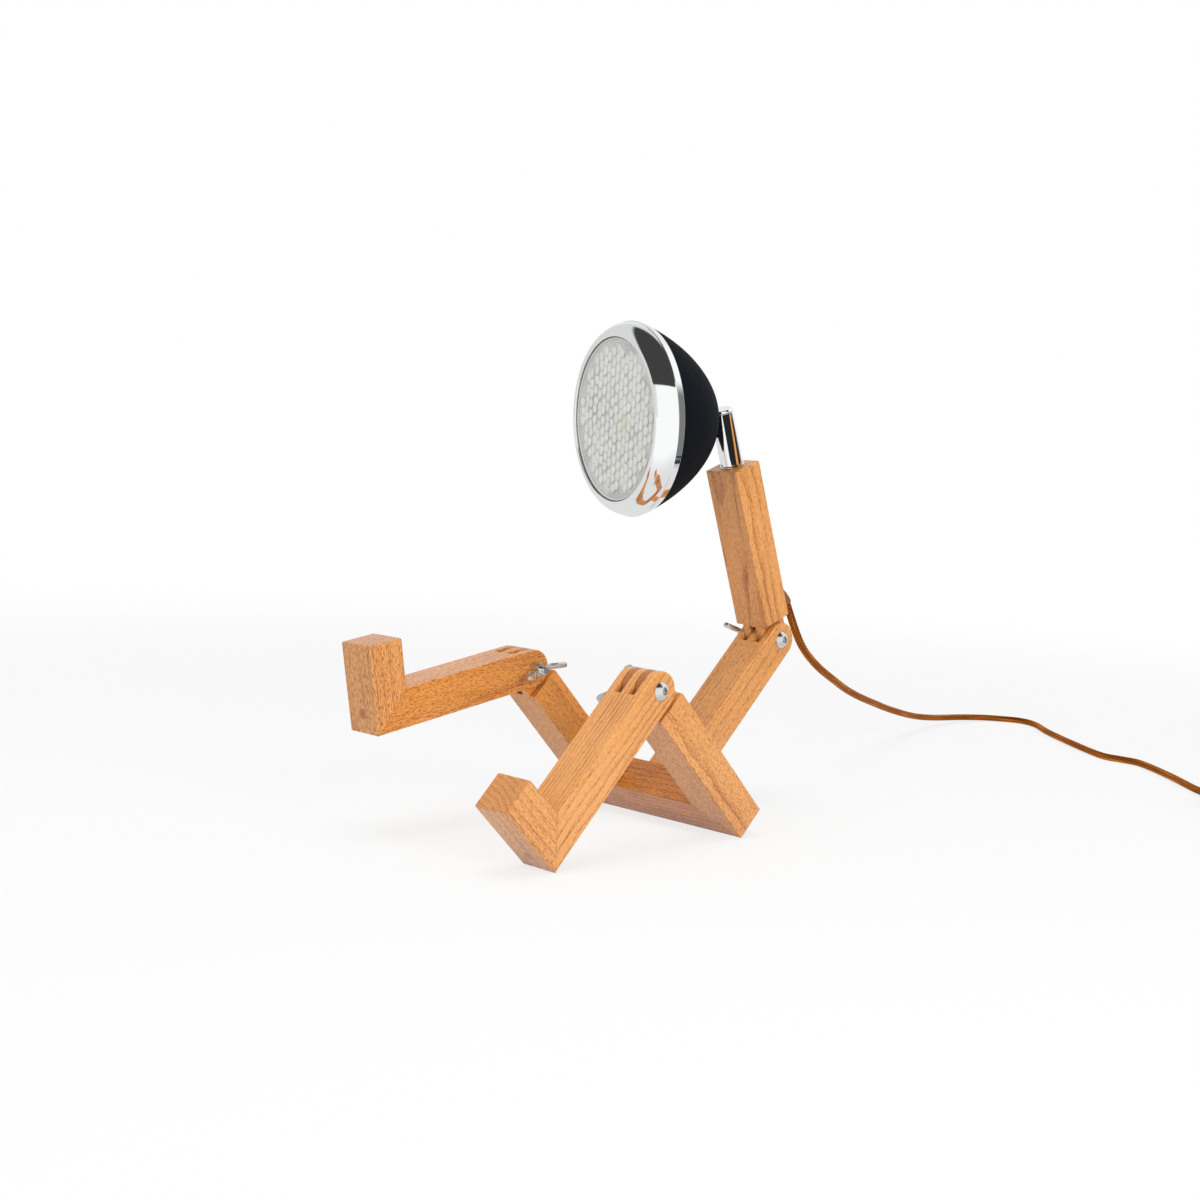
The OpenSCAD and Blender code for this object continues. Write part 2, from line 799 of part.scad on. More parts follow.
// Outline of the shell from its rim to its pole, as [radius, distance from the tilt axis]
shell_belly = 0.518 * (shell_front - pole_reach); // depth of the curve's pull behind the rim
shell_outer = bezier([[shell_r, shell_front], [shell_r * 0.81, shell_front - shell_belly],
    [shell_r * 0.428, pole_reach], [0, pole_reach]], 28);
shell_inner = bezier([[0, pole_reach + shell_wall], [(shell_r - shell_wall) * 0.428, pole_reach + shell_wall],
    [(shell_r - shell_wall) * 0.81, shell_front - shell_belly + 0.4],
    [shell_r - shell_wall - 1.2, shell_front]], 28);

module head_shell() {
    boss_r = plate_d / 2;
    color("#1e2128")
        head_frame()
            difference() {
                union() {
                    rotate_extrude($fn = 128)
                        polygon(concat(shell_outer, shell_inner,
                            [[spigot_ring_r - shell_wall, shell_front + 1.2],
                            [spigot_ring_r - shell_wall, spigot_ring_front],
                            [spigot_ring_r, spigot_ring_front], [spigot_ring_r, shell_front]]));
                    intersection() {
                        translate([0, 0, pole_reach + 0.8])
                            cylinder(r = boss_r, h = boss_front - pole_reach - 0.8);
                        rotate_extrude($fn = 128)
                            polygon(concat([[0, shell_front]], shell_outer));
                    }
                }
                translate([-tongue_t / 2 - 0.1, -tongue_h / 2 - 0.1, 0])
                    cube([tongue_t + 0.2, tongue_h + 0.2, shell_front / 2]);
                for (side = [-1, 1])
                    translate([side * screw_off, 0, 0])
                        bracket_screw(0.03);
                translate([0, screw_off, 0])
                    cylinder(r = lead_r + 0.1, h = shell_front / 2);
            }
}

// Outline of the bezel's outer face from the lip to the narrow band
bezel_face = bezier([[lip_r, lens_reach + lip_h], [lip_r + 3.4, lens_reach - 0.8],
    [bezel_r - 1, lens_reach - 4.9], [bezel_r - bezel_step, shell_front + band_w]], 14);
bezel_back = bezier([[bezel_r - bezel_step - bezel_wall, shell_front + band_w + 0.2],
    [bezel_r - 1 - bezel_wall, lens_reach - 4.9], [lip_r + 2.6, lens_reach - 1.6],
    [lip_r + 1.3, lens_reach]], 14);

module bezel_ring() {
    color("ghostwhite")
        head_frame()
            rotate_extrude($fn = 128)
                polygon(concat([[lens_show_r, lens_reach], [lens_show_r, lens_reach + lip_h - 0.4],
                    [lens_show_r + 0.6, lens_reach + lip_h]], bezel_face,
                    [[bezel_r, shell_front + band_w], [band_back_r, shell_front],
                    [band_back_r - bezel_wall, shell_front]], bezel_back));
}

module front_glass() {
    color([0.85, 0.88, 0.9, 0.6])
        head_frame()
            translate([0, 0, glass_back])
                cylinder(r = glass_r, h = lens_t, $fn = 128);
}

module glass_gasket() {
    back = spigot_ring_front + 0.8;
    color("black")
        head_frame()
            translate([0, 0, back])
                difference() {
                    cylinder(r = glass_r, h = glass_back - back, $fn = 128);
                    translate([0, 0, -over])
                        cylinder(r = lens_show_r + 0.3, h = lens_t + 10, $fn = 128);
                }
}

// Mirror bowl, from its flange on the shell to its neck around the lamp holder
module reflector() {
    wall = 0.8;
    neck_r = holder_d / 2 + 0.1;
    neck_low = holder_front - 6;
    flange_r = spigot_ring_r - 0.6;
    bowl = bezier([[lens_show_r - 1, spigot_ring_front], [lens_show_r - 5, spigot_ring_front - 16],
        [neck_r + 16, holder_front], [neck_r, holder_front]], 16);
    color("gainsboro")
        head_frame()
            rotate_extrude($fn = 96)
                polygon(concat([[neck_r, neck_low], [neck_r + wall, neck_low],
                    [neck_r + wall, holder_front - wall]],
                    [for (i = [len(bowl) - 2:-1:0]) bowl[i] + [wall, -wall]],
                    [[lens_show_r - 1 + wall, spigot_ring_front],
                    [flange_r, spigot_ring_front], [flange_r, spigot_ring_front + wall],
                    [lens_show_r - 1, spigot_ring_front + wall]], bowl));
}

module lamp_holder() {
    color("ivory")
        head_frame()
            difference() {
                translate([0, 0, plate_front])
                    cylinder(d = holder_d, h = holder_len);
                for (side = [-1, 1])
                    translate([side * 4.5, 0, holder_front - 8])
                        cylinder(d = 3.2, h = 8 + over);
                translate([0, 0, plate_front - over])
                    cylinder(d = 3.1, h = holder_len + 2 * over);
                translate([0, 0, plate_front + 4])
                    cylinder(d = 5.4, h = holder_len);
            }
}

module holder_screw() {
    color("silver")
        head_frame() {
            translate([0, 0, plate_front + 4])
                cylinder(d = 5.2, h = 2);
            translate([0, 0, plate_front])
                cylinder(d = 3, h = 4 + tiny);
            translate([0, 0, boss_front - 3])
                cylinder(d = 2.36, h = plate_t + 3 + tiny);
        }
}

module capsule_bulb() {
    color("lemonchiffon")
        head_frame()
            translate([0, 0, holder_front]) {
                cylinder(d = bulb_d - 2, h = 10);
                translate([0, 0, 10 - tiny])
                    cylinder(d = bulb_d, h = bulb_len - 10 - bulb_d / 2 + tiny);
                translate([0, 0, bulb_len - bulb_d / 2])
                    sphere(d = bulb_d);
                for (side = [-1, 1])
                    translate([side * 4.5, 0, -7.6])
                        cylinder(d = 3, h = 7.6 + tiny);
            }
}

module head_lead() {
    color("dimgray")
        head_frame()
            translate([0, screw_off, pole_reach + 0.6])
                cylinder(r = lead_r, h = plate_front - pole_reach - 0.6);
}

// Box with upright round corners, its length along X
module round_box(length, width, height, r) {
    for (x = [r - length / 2, length / 2 - r])
        for (y = [r - width / 2, width / 2 - r])
            translate([x, y, 0])
                cylinder(r = r, h = height, $fn = 32);
    translate([r - length / 2, -width / 2, 0])
        cube([length - 2 * r, width, height]);
    translate([-length / 2, r - width / 2, 0])
        cube([length, width - 2 * r, height]);
}

module switch_cavity() {
    translate([0, 0, switch_wall])
        round_box(switch_len - 2 * switch_wall, switch_w - 2 * switch_wall, switch_h - 2 * switch_wall, 4);
}

// A screw pillar's place at each end of the switch
module at_switch_screws() {
    for (side = [-1, 1])
        translate([side * (switch_len / 2 - 9), side * (switch_w / 2 - 5), 0])
            children();
}

module switch_base() {
    color("#2a2a2c")
        lay_frame(switch_at)
            difference() {
                union() {
                    difference() {
                        round_box(switch_len, switch_w, switch_h / 2, 5);
                        switch_cavity();
                    }
                    at_switch_screws()
                        cylinder(d = 5, h = switch_h / 2);
                }
                at_switch_screws()
                    switch_screw(0.05);
            }
}

module switch_screw(gap) {
    low = gap > 0 ? -tiny : 0.3;
    translate([0, 0, low])
        cylinder(r = 1.8 + gap, h = 1.7 + gap - low);
    translate([0, 0, 1])
        cylinder(r = 1 + gap, h = switch_h / 2 + 3);
}

module switch_screws() {
    color("silver")
        lay_frame(switch_at)
            at_switch_screws()
                switch_screw(0);
}

module switch_cover() {
    play = 0.4;
    color("#2a2a2c")
        lay_frame(switch_at)
            difference() {
                union() {
                    difference() {
                        translate([0, 0, switch_h / 2])
                            round_box(switch_len, switch_w, switch_h / 2, 5);
                        switch_cavity();
                    }
                    at_switch_screws()
                        translate([0, 0, switch_h / 2])
                            cylinder(d = 5, h = switch_h / 2 - 1);
                    for (side = [-1, 1])
                        translate([-3, side * (rocker_w / 2 + play + 0.8) - 0.8, switch_h - 8])
                            cube([6, 1.6, 8 - tiny]);
                }
                at_switch_screws()
                    switch_screw(0.05);
                translate([-rocker_len / 2 - play, -rocker_w / 2 - play, switch_h - 3])
                    cube([rocker_len + 2 * play, rocker_w + 2 * play, 4]);
                translate([0, 0, switch_h - 4])
                    rotate([90, 0, 0])
                        cylinder(r = 1 + glue_gap, h = rocker_w + 2 * play + 3.4, center = true);
            }
}

module switch_pivot() {
    play = 0.4;
    color("silver")
        lay_frame(switch_at)
            translate([0, 0, switch_h - 4])
                rotate([90, 0, 0])
                    cylinder(r = 1, h = rocker_w + 2 * play + 3.2, center = true);
}

// Rocker with two sloping faces, pressed down at its -X end
module switch_rocker() {
    rise = 2.2;
    color("#3a3a3d")
        lay_frame(switch_at)
            translate([0, 0, switch_h - 4])
                rotate([0, -rocker_tilt, 0])
                    difference() {
                        rotate([90, 0, 0])
                            linear_extrude(rocker_w, center = true)
                                polygon([[-rocker_len / 2, 1.2], [-rocker_len / 2 + 0.4, 4 + rise], [0, 4 + rise * 0.4],
                                    [rocker_len / 2 - 0.4, 4 + rise], [rocker_len / 2, 1.2], [2.2, -1.8], [-2.2, -1.8]]);
                        rotate([90, 0, 0])
                            cylinder(r = 1 + run_fit, h = 2 * rocker_w, center = true);
                    }
}

module switch_contacts() {
    color("gold")
        lay_frame(switch_at)
            for (side = [-1, 1])
                translate([side * 8, 0, switch_wall]) {
                    translate([-3, -4, 0])
                        cube([6, 8, 1]);
                    translate([-0.4, -3, 0])
                        cube([0.8, 6, 4]);
                }
}

// Free cord from the strain relief to the switch
module cord_lead() {
    entry = [switch_at[0], switch_at[1], cord_z] - (switch_len / 2) * [along[0], along[1], 0];
    before = entry - [along[0] * 14, along[1] * 14, 1.4];
    points = concat([relief_tip], cord_route, [before, entry]);
    color("chocolate")
        cord_tube(curve(points, 2), relief_dir(relief_len), [along[0], along[1], 0]);
}

// Short length from the switch to the coil
module cord_link() {
    start = [switch_at[0], switch_at[1], cord_z] + (switch_len / 2) * [along[0], along[1], 0];
    reach = coil_s - switch_len / 2;
    finish = start + [along[0] * reach, along[1] * reach, cord_r - cord_z];
    dir = [along[0], along[1], 0];
    points = [start, start + 6 * dir - [0, 0, 0.4], (start + finish) / 2, finish - 6 * dir + [0, 0, 0.4], finish];
    color("chocolate")
        difference() {
            cord_tube(curve(points, 3), dir, dir);
            coil_solid(0.02);
        }
}

// Outer shape of the coil, grown by gap
module coil_solid(gap) {
    inner = coil_in_r - cord_r - gap;
    outer = coil_out_r + cord_r + gap;
    translate([coil_at[0], coil_at[1], 0])
        rotate_extrude($fn = 96)
            translate([inner, 0])
                square([outer - inner, 2 * cord_d + gap]);
}

module cord_coil() {
    color("chocolate")
        coil_solid(0);
}

// Short length from the coil to the plug
module cord_tail() {
    back = -[along[0], along[1], 0];
    start = [coil_at[0], coil_at[1], 1.5 * cord_d] + coil_out_r * [aside[0], aside[1], 0];
    finish = [plug_at[0], plug_at[1], plug_h / 2] + (plug_len / 2 + boot_len) * [along[0], along[1], 0];
    points = [start, start + 8 * back, (start + finish) / 2, finish - 6 * back, finish];
    color("chocolate")
        difference() {
            cord_tube(curve(points, 3), back, back);
            coil_solid(0.02);
        }
}

module plug_body() {
    shoulder_w = 17;
    color("#232325")
        lay_frame(plug_at)
            difference() {
                union() {
                    hull() {
                        for (side = [-1, 1])
                            translate([-plug_len / 2, side * (plug_w - plug_h) / 2, plug_h / 2])
                                rotate([0, 90, 0])
                                    cylinder(d = plug_h, h = plug_len / 2, $fn = 32);
                        for (side = [-1, 1])
                            translate([plug_len / 2 - 1, side * (shoulder_w - plug_h) / 2, plug_h / 2])
                                rotate([0, 90, 0])
                                    cylinder(d = plug_h - 1, h = 1, $fn = 32);
                    }
                    translate([plug_len / 2 - tiny, 0, plug_h / 2])
                        rotate([0, 90, 0])
                            cylinder(d1 = 9.5, d2 = cord_d + 1.4, h = boot_len + tiny);
                }
                for (side = [-1, 1])
                    translate([-plug_len / 2 - tiny, side * prong_pitch / 2, plug_h / 2])
                        rotate([0, 90, 0])
                            cylinder(d = prong_d + 2 * glue_gap, h = 10.1 + tiny);
            }
}

module plug_prongs() {
    color("gold")
        lay_frame(plug_at)
            for (side = [-1, 1])
                translate([-plug_len / 2 - prong_len, side * prong_pitch / 2, plug_h / 2]) {
                    rotate([0, 90, 0])
                        cylinder(d = prong_d, h = prong_len + 10);
                    sphere(d = prong_d);
                }
}

thigh(1);  // left_thigh
thigh(-1);  // right_thigh
hip_crossbeam();
lower_torso();
mitre_dowels();
torso_dowels();
waist_bolt();
waist_wing_nut();
shin(1, left_shin_drop);  // left_shin
foot(1, left_shin_drop);  // left_foot
foot_dowel(1, left_shin_drop);  // left_foot_dowel
knee_bolt(1, left_shin_drop);  // left_knee_bolt
knee_nut(1, left_shin_drop, 81);  // left_wing_nut
shin(-1, right_shin_drop);  // right_shin
foot(-1, right_shin_drop);  // right_foot
foot_dowel(-1, right_shin_drop);  // right_foot_dowel
knee_bolt(-1, right_shin_drop);  // right_knee_bolt
knee_nut(-1, right_shin_drop, 93);  // right_wing_nut
upper_torso();
neck_bush();
neck_collar();
torso_lead();
strain_relief();
neck_tube();
neck_cap();
neck_spigot();
snap_ring();
pivot_block();
tilt_pin();
neck_lead();
tilt_bracket();
bracket_screws();
head_shell();
bezel_ring();
front_glass();
glass_gasket();
reflector();
lamp_holder();
holder_screw();
capsule_bulb();
head_lead();
cord_lead();
switch_base();
switch_cover();
switch_rocker();
switch_pivot();
switch_contacts();
switch_screws();
cord_link();
cord_coil();
cord_tail();
plug_body();
plug_prongs();
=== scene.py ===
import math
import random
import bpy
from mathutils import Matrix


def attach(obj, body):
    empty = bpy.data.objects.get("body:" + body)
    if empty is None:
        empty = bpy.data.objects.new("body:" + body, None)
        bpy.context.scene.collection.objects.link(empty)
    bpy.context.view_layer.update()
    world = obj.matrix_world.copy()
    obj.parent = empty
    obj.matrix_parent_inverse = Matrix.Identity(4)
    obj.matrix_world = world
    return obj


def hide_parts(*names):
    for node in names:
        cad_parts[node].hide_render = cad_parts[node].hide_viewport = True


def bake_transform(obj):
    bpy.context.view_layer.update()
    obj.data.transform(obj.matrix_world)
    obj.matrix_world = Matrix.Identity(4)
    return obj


bl_info = {
    "name": "Robot Desk Lamp",
    "version": (1, 0, 0),
    "blender": (4, 5, 0),
    "location": "3D View > Sidebar > Desk Lamp",
    "description": "Dresses the solids of a wooden desk lamp in the shape of a sitting robot",
    "category": "Add Mesh",
}

import bmesh
import bpy
from mathutils import Matrix, Vector

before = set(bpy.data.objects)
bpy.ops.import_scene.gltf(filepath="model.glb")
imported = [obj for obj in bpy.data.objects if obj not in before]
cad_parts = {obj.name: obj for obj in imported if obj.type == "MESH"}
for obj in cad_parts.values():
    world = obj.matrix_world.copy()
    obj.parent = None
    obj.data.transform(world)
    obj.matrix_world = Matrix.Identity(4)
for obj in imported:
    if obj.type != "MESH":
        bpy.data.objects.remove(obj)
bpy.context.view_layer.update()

MM = 0.001

# Sizes of the solids in millimetres, as in the part's source
LIMB_W, LIMB_D, LIMB_LEN = 25.0, 22.0, 115.0  # sideways width, depth and length of every limb
HIP_W = 127.0  # width over the two thighs
TOE = 39.0  # reach of a foot from the middle of its shin
PIVOT_UP, EXIT_UP = 30.0, 28.0  # tilt axis above the torso, cord's exit above the waist
LENS_REACH, LENS_R = 74.5, 47.9  # front of the glass from the tilt axis, open radius of the bezel
LENS_SINK = 0.1  # tops of the pebbles below the front of the glass
SHELL_FRONT, BEZEL_R = 59.8, 57.2  # where the bezel meets the shell, largest radius of the bezel
BAND_W, BAND_TAPER = 5.0, 1.5  # narrow band at the bezel's back
HEAD_H, HEAD_R = 3.0, 5.5  # height and radius of a bolt's domed head
SHANK_R, SHANK_OUT, SOCKET = 2.5, 10.0, 3.0  # bolt's shank, its end past the wood, its hexagon across flats
HALF_W, HALF_D = LIMB_W / 2, LIMB_D / 2
THIGH_X = HIP_W / 2 - HALF_W

# Pose of the solids in degrees
THIGH_RISE, RIGHT_DROP = 45.5, 10.0  # slope of the thighs, drop of the right shin
TORSO_LEAN, NECK_TURN, HEAD_TILT = 21.0, -17.0, 17.0


def sin(a):
    return math.sin(math.radians(a))


def cos(a):
    return math.cos(math.radians(a))


# Places of the pivots and the middle of the lamp's box, in millimetres
KNEE_Y = HALF_D * sin(THIGH_RISE) - LIMB_LEN * cos(THIGH_RISE)
KNEE_Z = LIMB_LEN * sin(THIGH_RISE) + HALF_D * cos(THIGH_RISE)
WAIST_Y = (LIMB_D + LIMB_LEN) * sin(THIGH_RISE) - HALF_W * cos(THIGH_RISE)
WAIST_Z = HALF_W * sin(THIGH_RISE) + (LIMB_D + LIMB_LEN) * cos(THIGH_RISE)
HEEL_SPAN = math.hypot(LIMB_LEN, HALF_D)
LEFT_DROP = math.degrees(math.asin(KNEE_Z / HEEL_SPAN) - math.atan(HALF_D / LIMB_LEN))
HEAD_X = cos(HEAD_TILT) * sin(NECK_TURN)
RIGHT_END = (SHELL_FRONT + BAND_W) * HEAD_X - BEZEL_R * math.sqrt(1 - HEAD_X ** 2)
MID_X = (HIP_W / 2 + HEAD_H + RIGHT_END) / 2
MID_Y = (KNEE_Y - LIMB_LEN * cos(RIGHT_DROP) - TOE * sin(RIGHT_DROP) + WAIST_Y + HALF_D) / 2


def shift(x, y, z):
    """A move in millimetres."""
    return Matrix.Translation((x * MM, y * MM, z * MM))


def turn(angle, axis):
    return Matrix.Rotation(math.radians(angle), 4, axis)


# Frames of the limbs, each with its joint at the origin and the limb along Z
ROW = shift(-MID_X, -MID_Y, 0)
HIP = ROW @ turn(90 - THIGH_RISE, "X")
TORSO = ROW @ shift(0, WAIST_Y, WAIST_Z) @ turn(TORSO_LEAN, "X")
NECK = TORSO @ shift(0, 0, LIMB_LEN) @ turn(NECK_TURN, "Z")
HEAD = NECK @ shift(0, 0, PIVOT_UP) @ turn(90 - HEAD_TILT, "X")


def shin(side, drop):
    return ROW @ shift(side * THIGH_X, KNEE_Y, KNEE_Z) @ turn(90 + drop, "X")


LEFT_SHIN, RIGHT_SHIN = shin(1, LEFT_DROP), shin(-1, RIGHT_DROP)
LEFT_THIGH, RIGHT_THIGH = HIP @ shift(THIGH_X, HALF_D, 0), HIP @ shift(-THIGH_X, HALF_D, 0)
ALONG_X, ALONG_Y = turn(90, "Y"), turn(-90, "X")


def bezier(a, b, c, d, steps):
    """Points of a cubic curve in the plane, as the solids' outlines have them."""
    out = []
    for k in range(steps + 1):
        t = k / steps
        s = 1 - t
        shares = (s ** 3, 3 * s * s * t, 3 * s * t * t, t ** 3)
        out.append(tuple(sum(w * p[i] for w, p in zip(shares, (a, b, c, d))) for i in (0, 1)))
    return out


# ---------------------------------------------------------------- sizes and colours


class TimberSettings(bpy.types.PropertyGroup):
    """Wood of the limbs."""

    arris: bpy.props.FloatProperty(
        name="Arris", description="Round-over of the limbs' long edges",
        default=0.9 * MM, min=0.1 * MM, max=2 * MM, unit="LENGTH")
    pale: bpy.props.FloatVectorProperty(
        name="Pale wood", description="Colour between the grain lines",
        default=(0.82, 0.375, 0.115), size=3, subtype="COLOR", min=0, max=1)
    deep: bpy.props.FloatVectorProperty(
        name="Deep wood", description="Colour of the grain lines",
        default=(0.43, 0.135, 0.030), size=3, subtype="COLOR", min=0, max=1)
    pore: bpy.props.FloatVectorProperty(
        name="Pores", description="Colour of the pores",
        default=(0.17, 0.042, 0.010), size=3, subtype="COLOR", min=0, max=1)
    ring: bpy.props.FloatProperty(
        name="Ring width", description="Distance between two growth rings",
        default=2.7 * MM, min=MM, max=8 * MM, unit="LENGTH")


class MetalSettings(bpy.types.PropertyGroup):
    """Chrome, zinc and steel."""

    chrome: bpy.props.FloatVectorProperty(
        name="Chrome", description="Colour of the chrome plate",
        default=(0.955, 0.965, 0.97), size=3, subtype="COLOR", min=0, max=1)
    zinc: bpy.props.FloatVectorProperty(
        name="Zinc", description="Colour of the zinc plate",
        default=(0.76, 0.77, 0.76), size=3, subtype="COLOR", min=0, max=1)
    thread: bpy.props.FloatProperty(
        name="Thread pitch", description="Distance between two turns of the bolts' thread",
        default=MM, min=0.5 * MM, max=2 * MM, unit="LENGTH")


class HeadSettings(bpy.types.PropertyGroup):
    """Shell and lens of the headlamp."""

    paint: bpy.props.FloatVectorProperty(
        name="Shell", description="Colour of the shell's powder coat",
        default=(0.0042, 0.0056, 0.0088), size=3, subtype="COLOR", min=0, max=1)
    pebble: bpy.props.FloatProperty(
        name="Pebble pitch", description="Distance between the pebbles in the lens",
        default=5.9 * MM, min=3 * MM, max=10 * MM, unit="LENGTH")
    relief: bpy.props.FloatProperty(
        name="Pebble height", description="Height of the pebbles in the lens",
        default=0.8 * MM, min=0.1 * MM, max=1.5 * MM, unit="LENGTH")


class CordSettings(bpy.types.PropertyGroup):
    """Textile cord and its fittings."""

    yarn: bpy.props.FloatVectorProperty(
        name="Yarn", description="Colour of the braid",
        default=(0.54, 0.155, 0.022), size=3, subtype="COLOR", min=0, max=1)
    # The yarn shade is painted shade: the colour of the hollows between the yarns
    shade: bpy.props.FloatVectorProperty(
        name="Yarn shade", description="Colour between the yarns",
        default=(0.11, 0.026, 0.006), size=3, subtype="COLOR", min=0, max=1)
    diameter: bpy.props.FloatProperty(
        name="Diameter", description="Thickness of the cord",
        default=5 * MM, min=4 * MM, max=8 * MM, unit="LENGTH")
    strands: bpy.props.IntProperty(
        name="Strands", description="Yarns that run each way round the cord",
        default=12, min=6, max=24)


class StageSettings(bpy.types.PropertyGroup):
    """Floor and lamps."""

    floor: bpy.props.FloatProperty(
        name="Floor", description="Width of the floor",
        default=14.0, min=2, max=40, unit="LENGTH")
    key: bpy.props.FloatProperty(
        name="Side light", description="Power of the lamp beside the object",
        default=19.0, min=0, max=500, subtype="POWER", unit="POWER")
    top: bpy.props.FloatProperty(
        name="Top light", description="Power of the lamp over the object",
        default=15.0, min=0, max=500, subtype="POWER", unit="POWER")
    sky: bpy.props.FloatProperty(
        name="Sky", description="Light that comes from all round",
        default=0.5, min=0, max=2, subtype="FACTOR")


# ---------------------------------------------------------------- materials

# Colours that vary a finish's own colour, and the painted highlight, shade, shadow and glow on the cord and
# the lens
WORN_CHROME, STRAW_ZINC, SCRATCHED_ZINC = (0.70, 0.71, 0.72), (0.70, 0.69, 0.63), (0.47, 0.48, 0.49)
PAINTED_SILK_HIGHLIGHT = (0.88, 0.31, 0.05)
MILK_PALE, MILK_DULL, PAINTED_PEBBLE_SHADE = (0.93, 0.95, 0.91), (0.86, 0.88, 0.84), (0.36, 0.37, 0.35)
GLASS_GROOVE, PAINTED_RIM_SHADOW, PAINTED_BULB_GLOW = (0.35, 0.36, 0.34), (0.03, 0.03, 0.03), (0.86, 0.76, 0.52)


class Term:
    """A value in a node tree, so that maths on it is written as an expression."""

    def __init__(self, nodes, socket):
        self.nodes, self.socket = nodes, socket

    def _with(self, operation, *values):
        return self.nodes.node("Math", {"operation": operation}, dict(enumerate(values)))

    def __add__(self, other):
        return self._with("ADD", self, other)

    def __sub__(self, other):
        return self._with("SUBTRACT", self, other)

    def __rsub__(self, other):
        return self._with("SUBTRACT", other, self)

    def __mul__(self, other):
        return self._with("MULTIPLY", self, other)

    def __truediv__(self, other):
        return self._with("DIVIDE", self, other)

    def __pow__(self, other):
        return self._with("POWER", self, other)

    __radd__, __rmul__ = __add__, __mul__

    def apply(self, operation, *values):
        """Any other operation of a Math node on this value."""
        return self._with(operation, self, *values)

    def step(self, low, high):
        """0 below low, 1 above high and smooth between them."""
        return self.nodes.node("MapRange", {"interpolation_type": "SMOOTHSTEP"},
                               {"Value": self, "From Min": low, "From Max": high})

    def parts(self):
        """The three parts of a vector."""
        first = self.nodes.node("SeparateXYZ", {}, {0: self})
        return [Term(self.nodes, s) for s in first.socket.node.outputs]


class Nodes:
    """A node tree that is written as expressions."""

    def __init__(self, tree, empty=False):
        self.tree = tree
        if empty:
            tree.nodes.clear()

    def put(self, socket, value):
        """Sets a socket to a number, a colour or a term."""
        if isinstance(value, Term):
            self.tree.links.new(value.socket, socket)
        elif isinstance(value, (tuple, list)) and socket.type == "RGBA":
            socket.default_value = (*value[:3], 1)
        else:
            socket.default_value = value

    def node(self, kind, settings, inputs, output=0):
        """Adds one node of a kind, with its settings and its inputs, and gives one of its outputs."""
        made = self.tree.nodes.new("ShaderNode" + kind)
        for key, value in settings.items():
            setattr(made, key, value)
        for key, value in inputs.items():
            self.put(made.inputs[key], value)
        return Term(self, made.outputs[output]) if len(made.outputs) else None

    def mix(self, factor, low, high, blend="MIX"):
        """Colour between two colours."""
        return self.node("Mix", {"data_type": "RGBA", "blend_type": blend, "clamp_factor": True},
                         {0: factor, 6: low, 7: high}, 2)

    def place(self, frame_of=None, scale=(MM, MM, MM)):
        """Object coordinates in a frame's own directions, divided by a scale along each of them."""
        frame_of = frame_of or Matrix.Identity(4)
        point = self.node("TexCoord", {}, {}, "Object")
        return self.node("Mapping", {"vector_type": "TEXTURE"},
                         {"Vector": point, "Location": frame_of.to_translation(),
                          "Rotation": frame_of.to_euler(), "Scale": scale})

    def noise(self, vector, scale, detail=2.0, rough=0.5):
        return self.node("TexNoise", {},
                         {"Vector": vector, "Scale": scale, "Detail": detail, "Roughness": rough})

    def facing(self, frame_of, direction):
        """How much the surface faces a direction of a frame, from -1 to 1."""
        normal = self.node("TexCoord", {}, {}, "Normal")
        return self.node("VectorMath", {"operation": "DOT_PRODUCT"},
                         {0: normal, 1: frame_of.to_3x3() @ Vector(direction)}, "Value")


class Finish(Nodes):
    """A material: its nodes, and the principled shader that they feed."""

    def __init__(self, name, **constants):
        self.material = bpy.data.materials.new(name)
        self.material.use_nodes = True
        super().__init__(self.material.node_tree)
        self.shader = self.tree.nodes["Principled BSDF"]
        for key, value in constants.items():
            self.shader.inputs[key.replace("_", " ")].default_value = value

    def feed(self, **sockets):
        for key, value in sockets.items():
            self.put(self.shader.inputs[key.replace("_", " ")], value)
        return self

    def bump(self, height, depth, strength):
        return self.node("Bump", {}, {"Height": height, "Distance": depth, "Strength": strength})


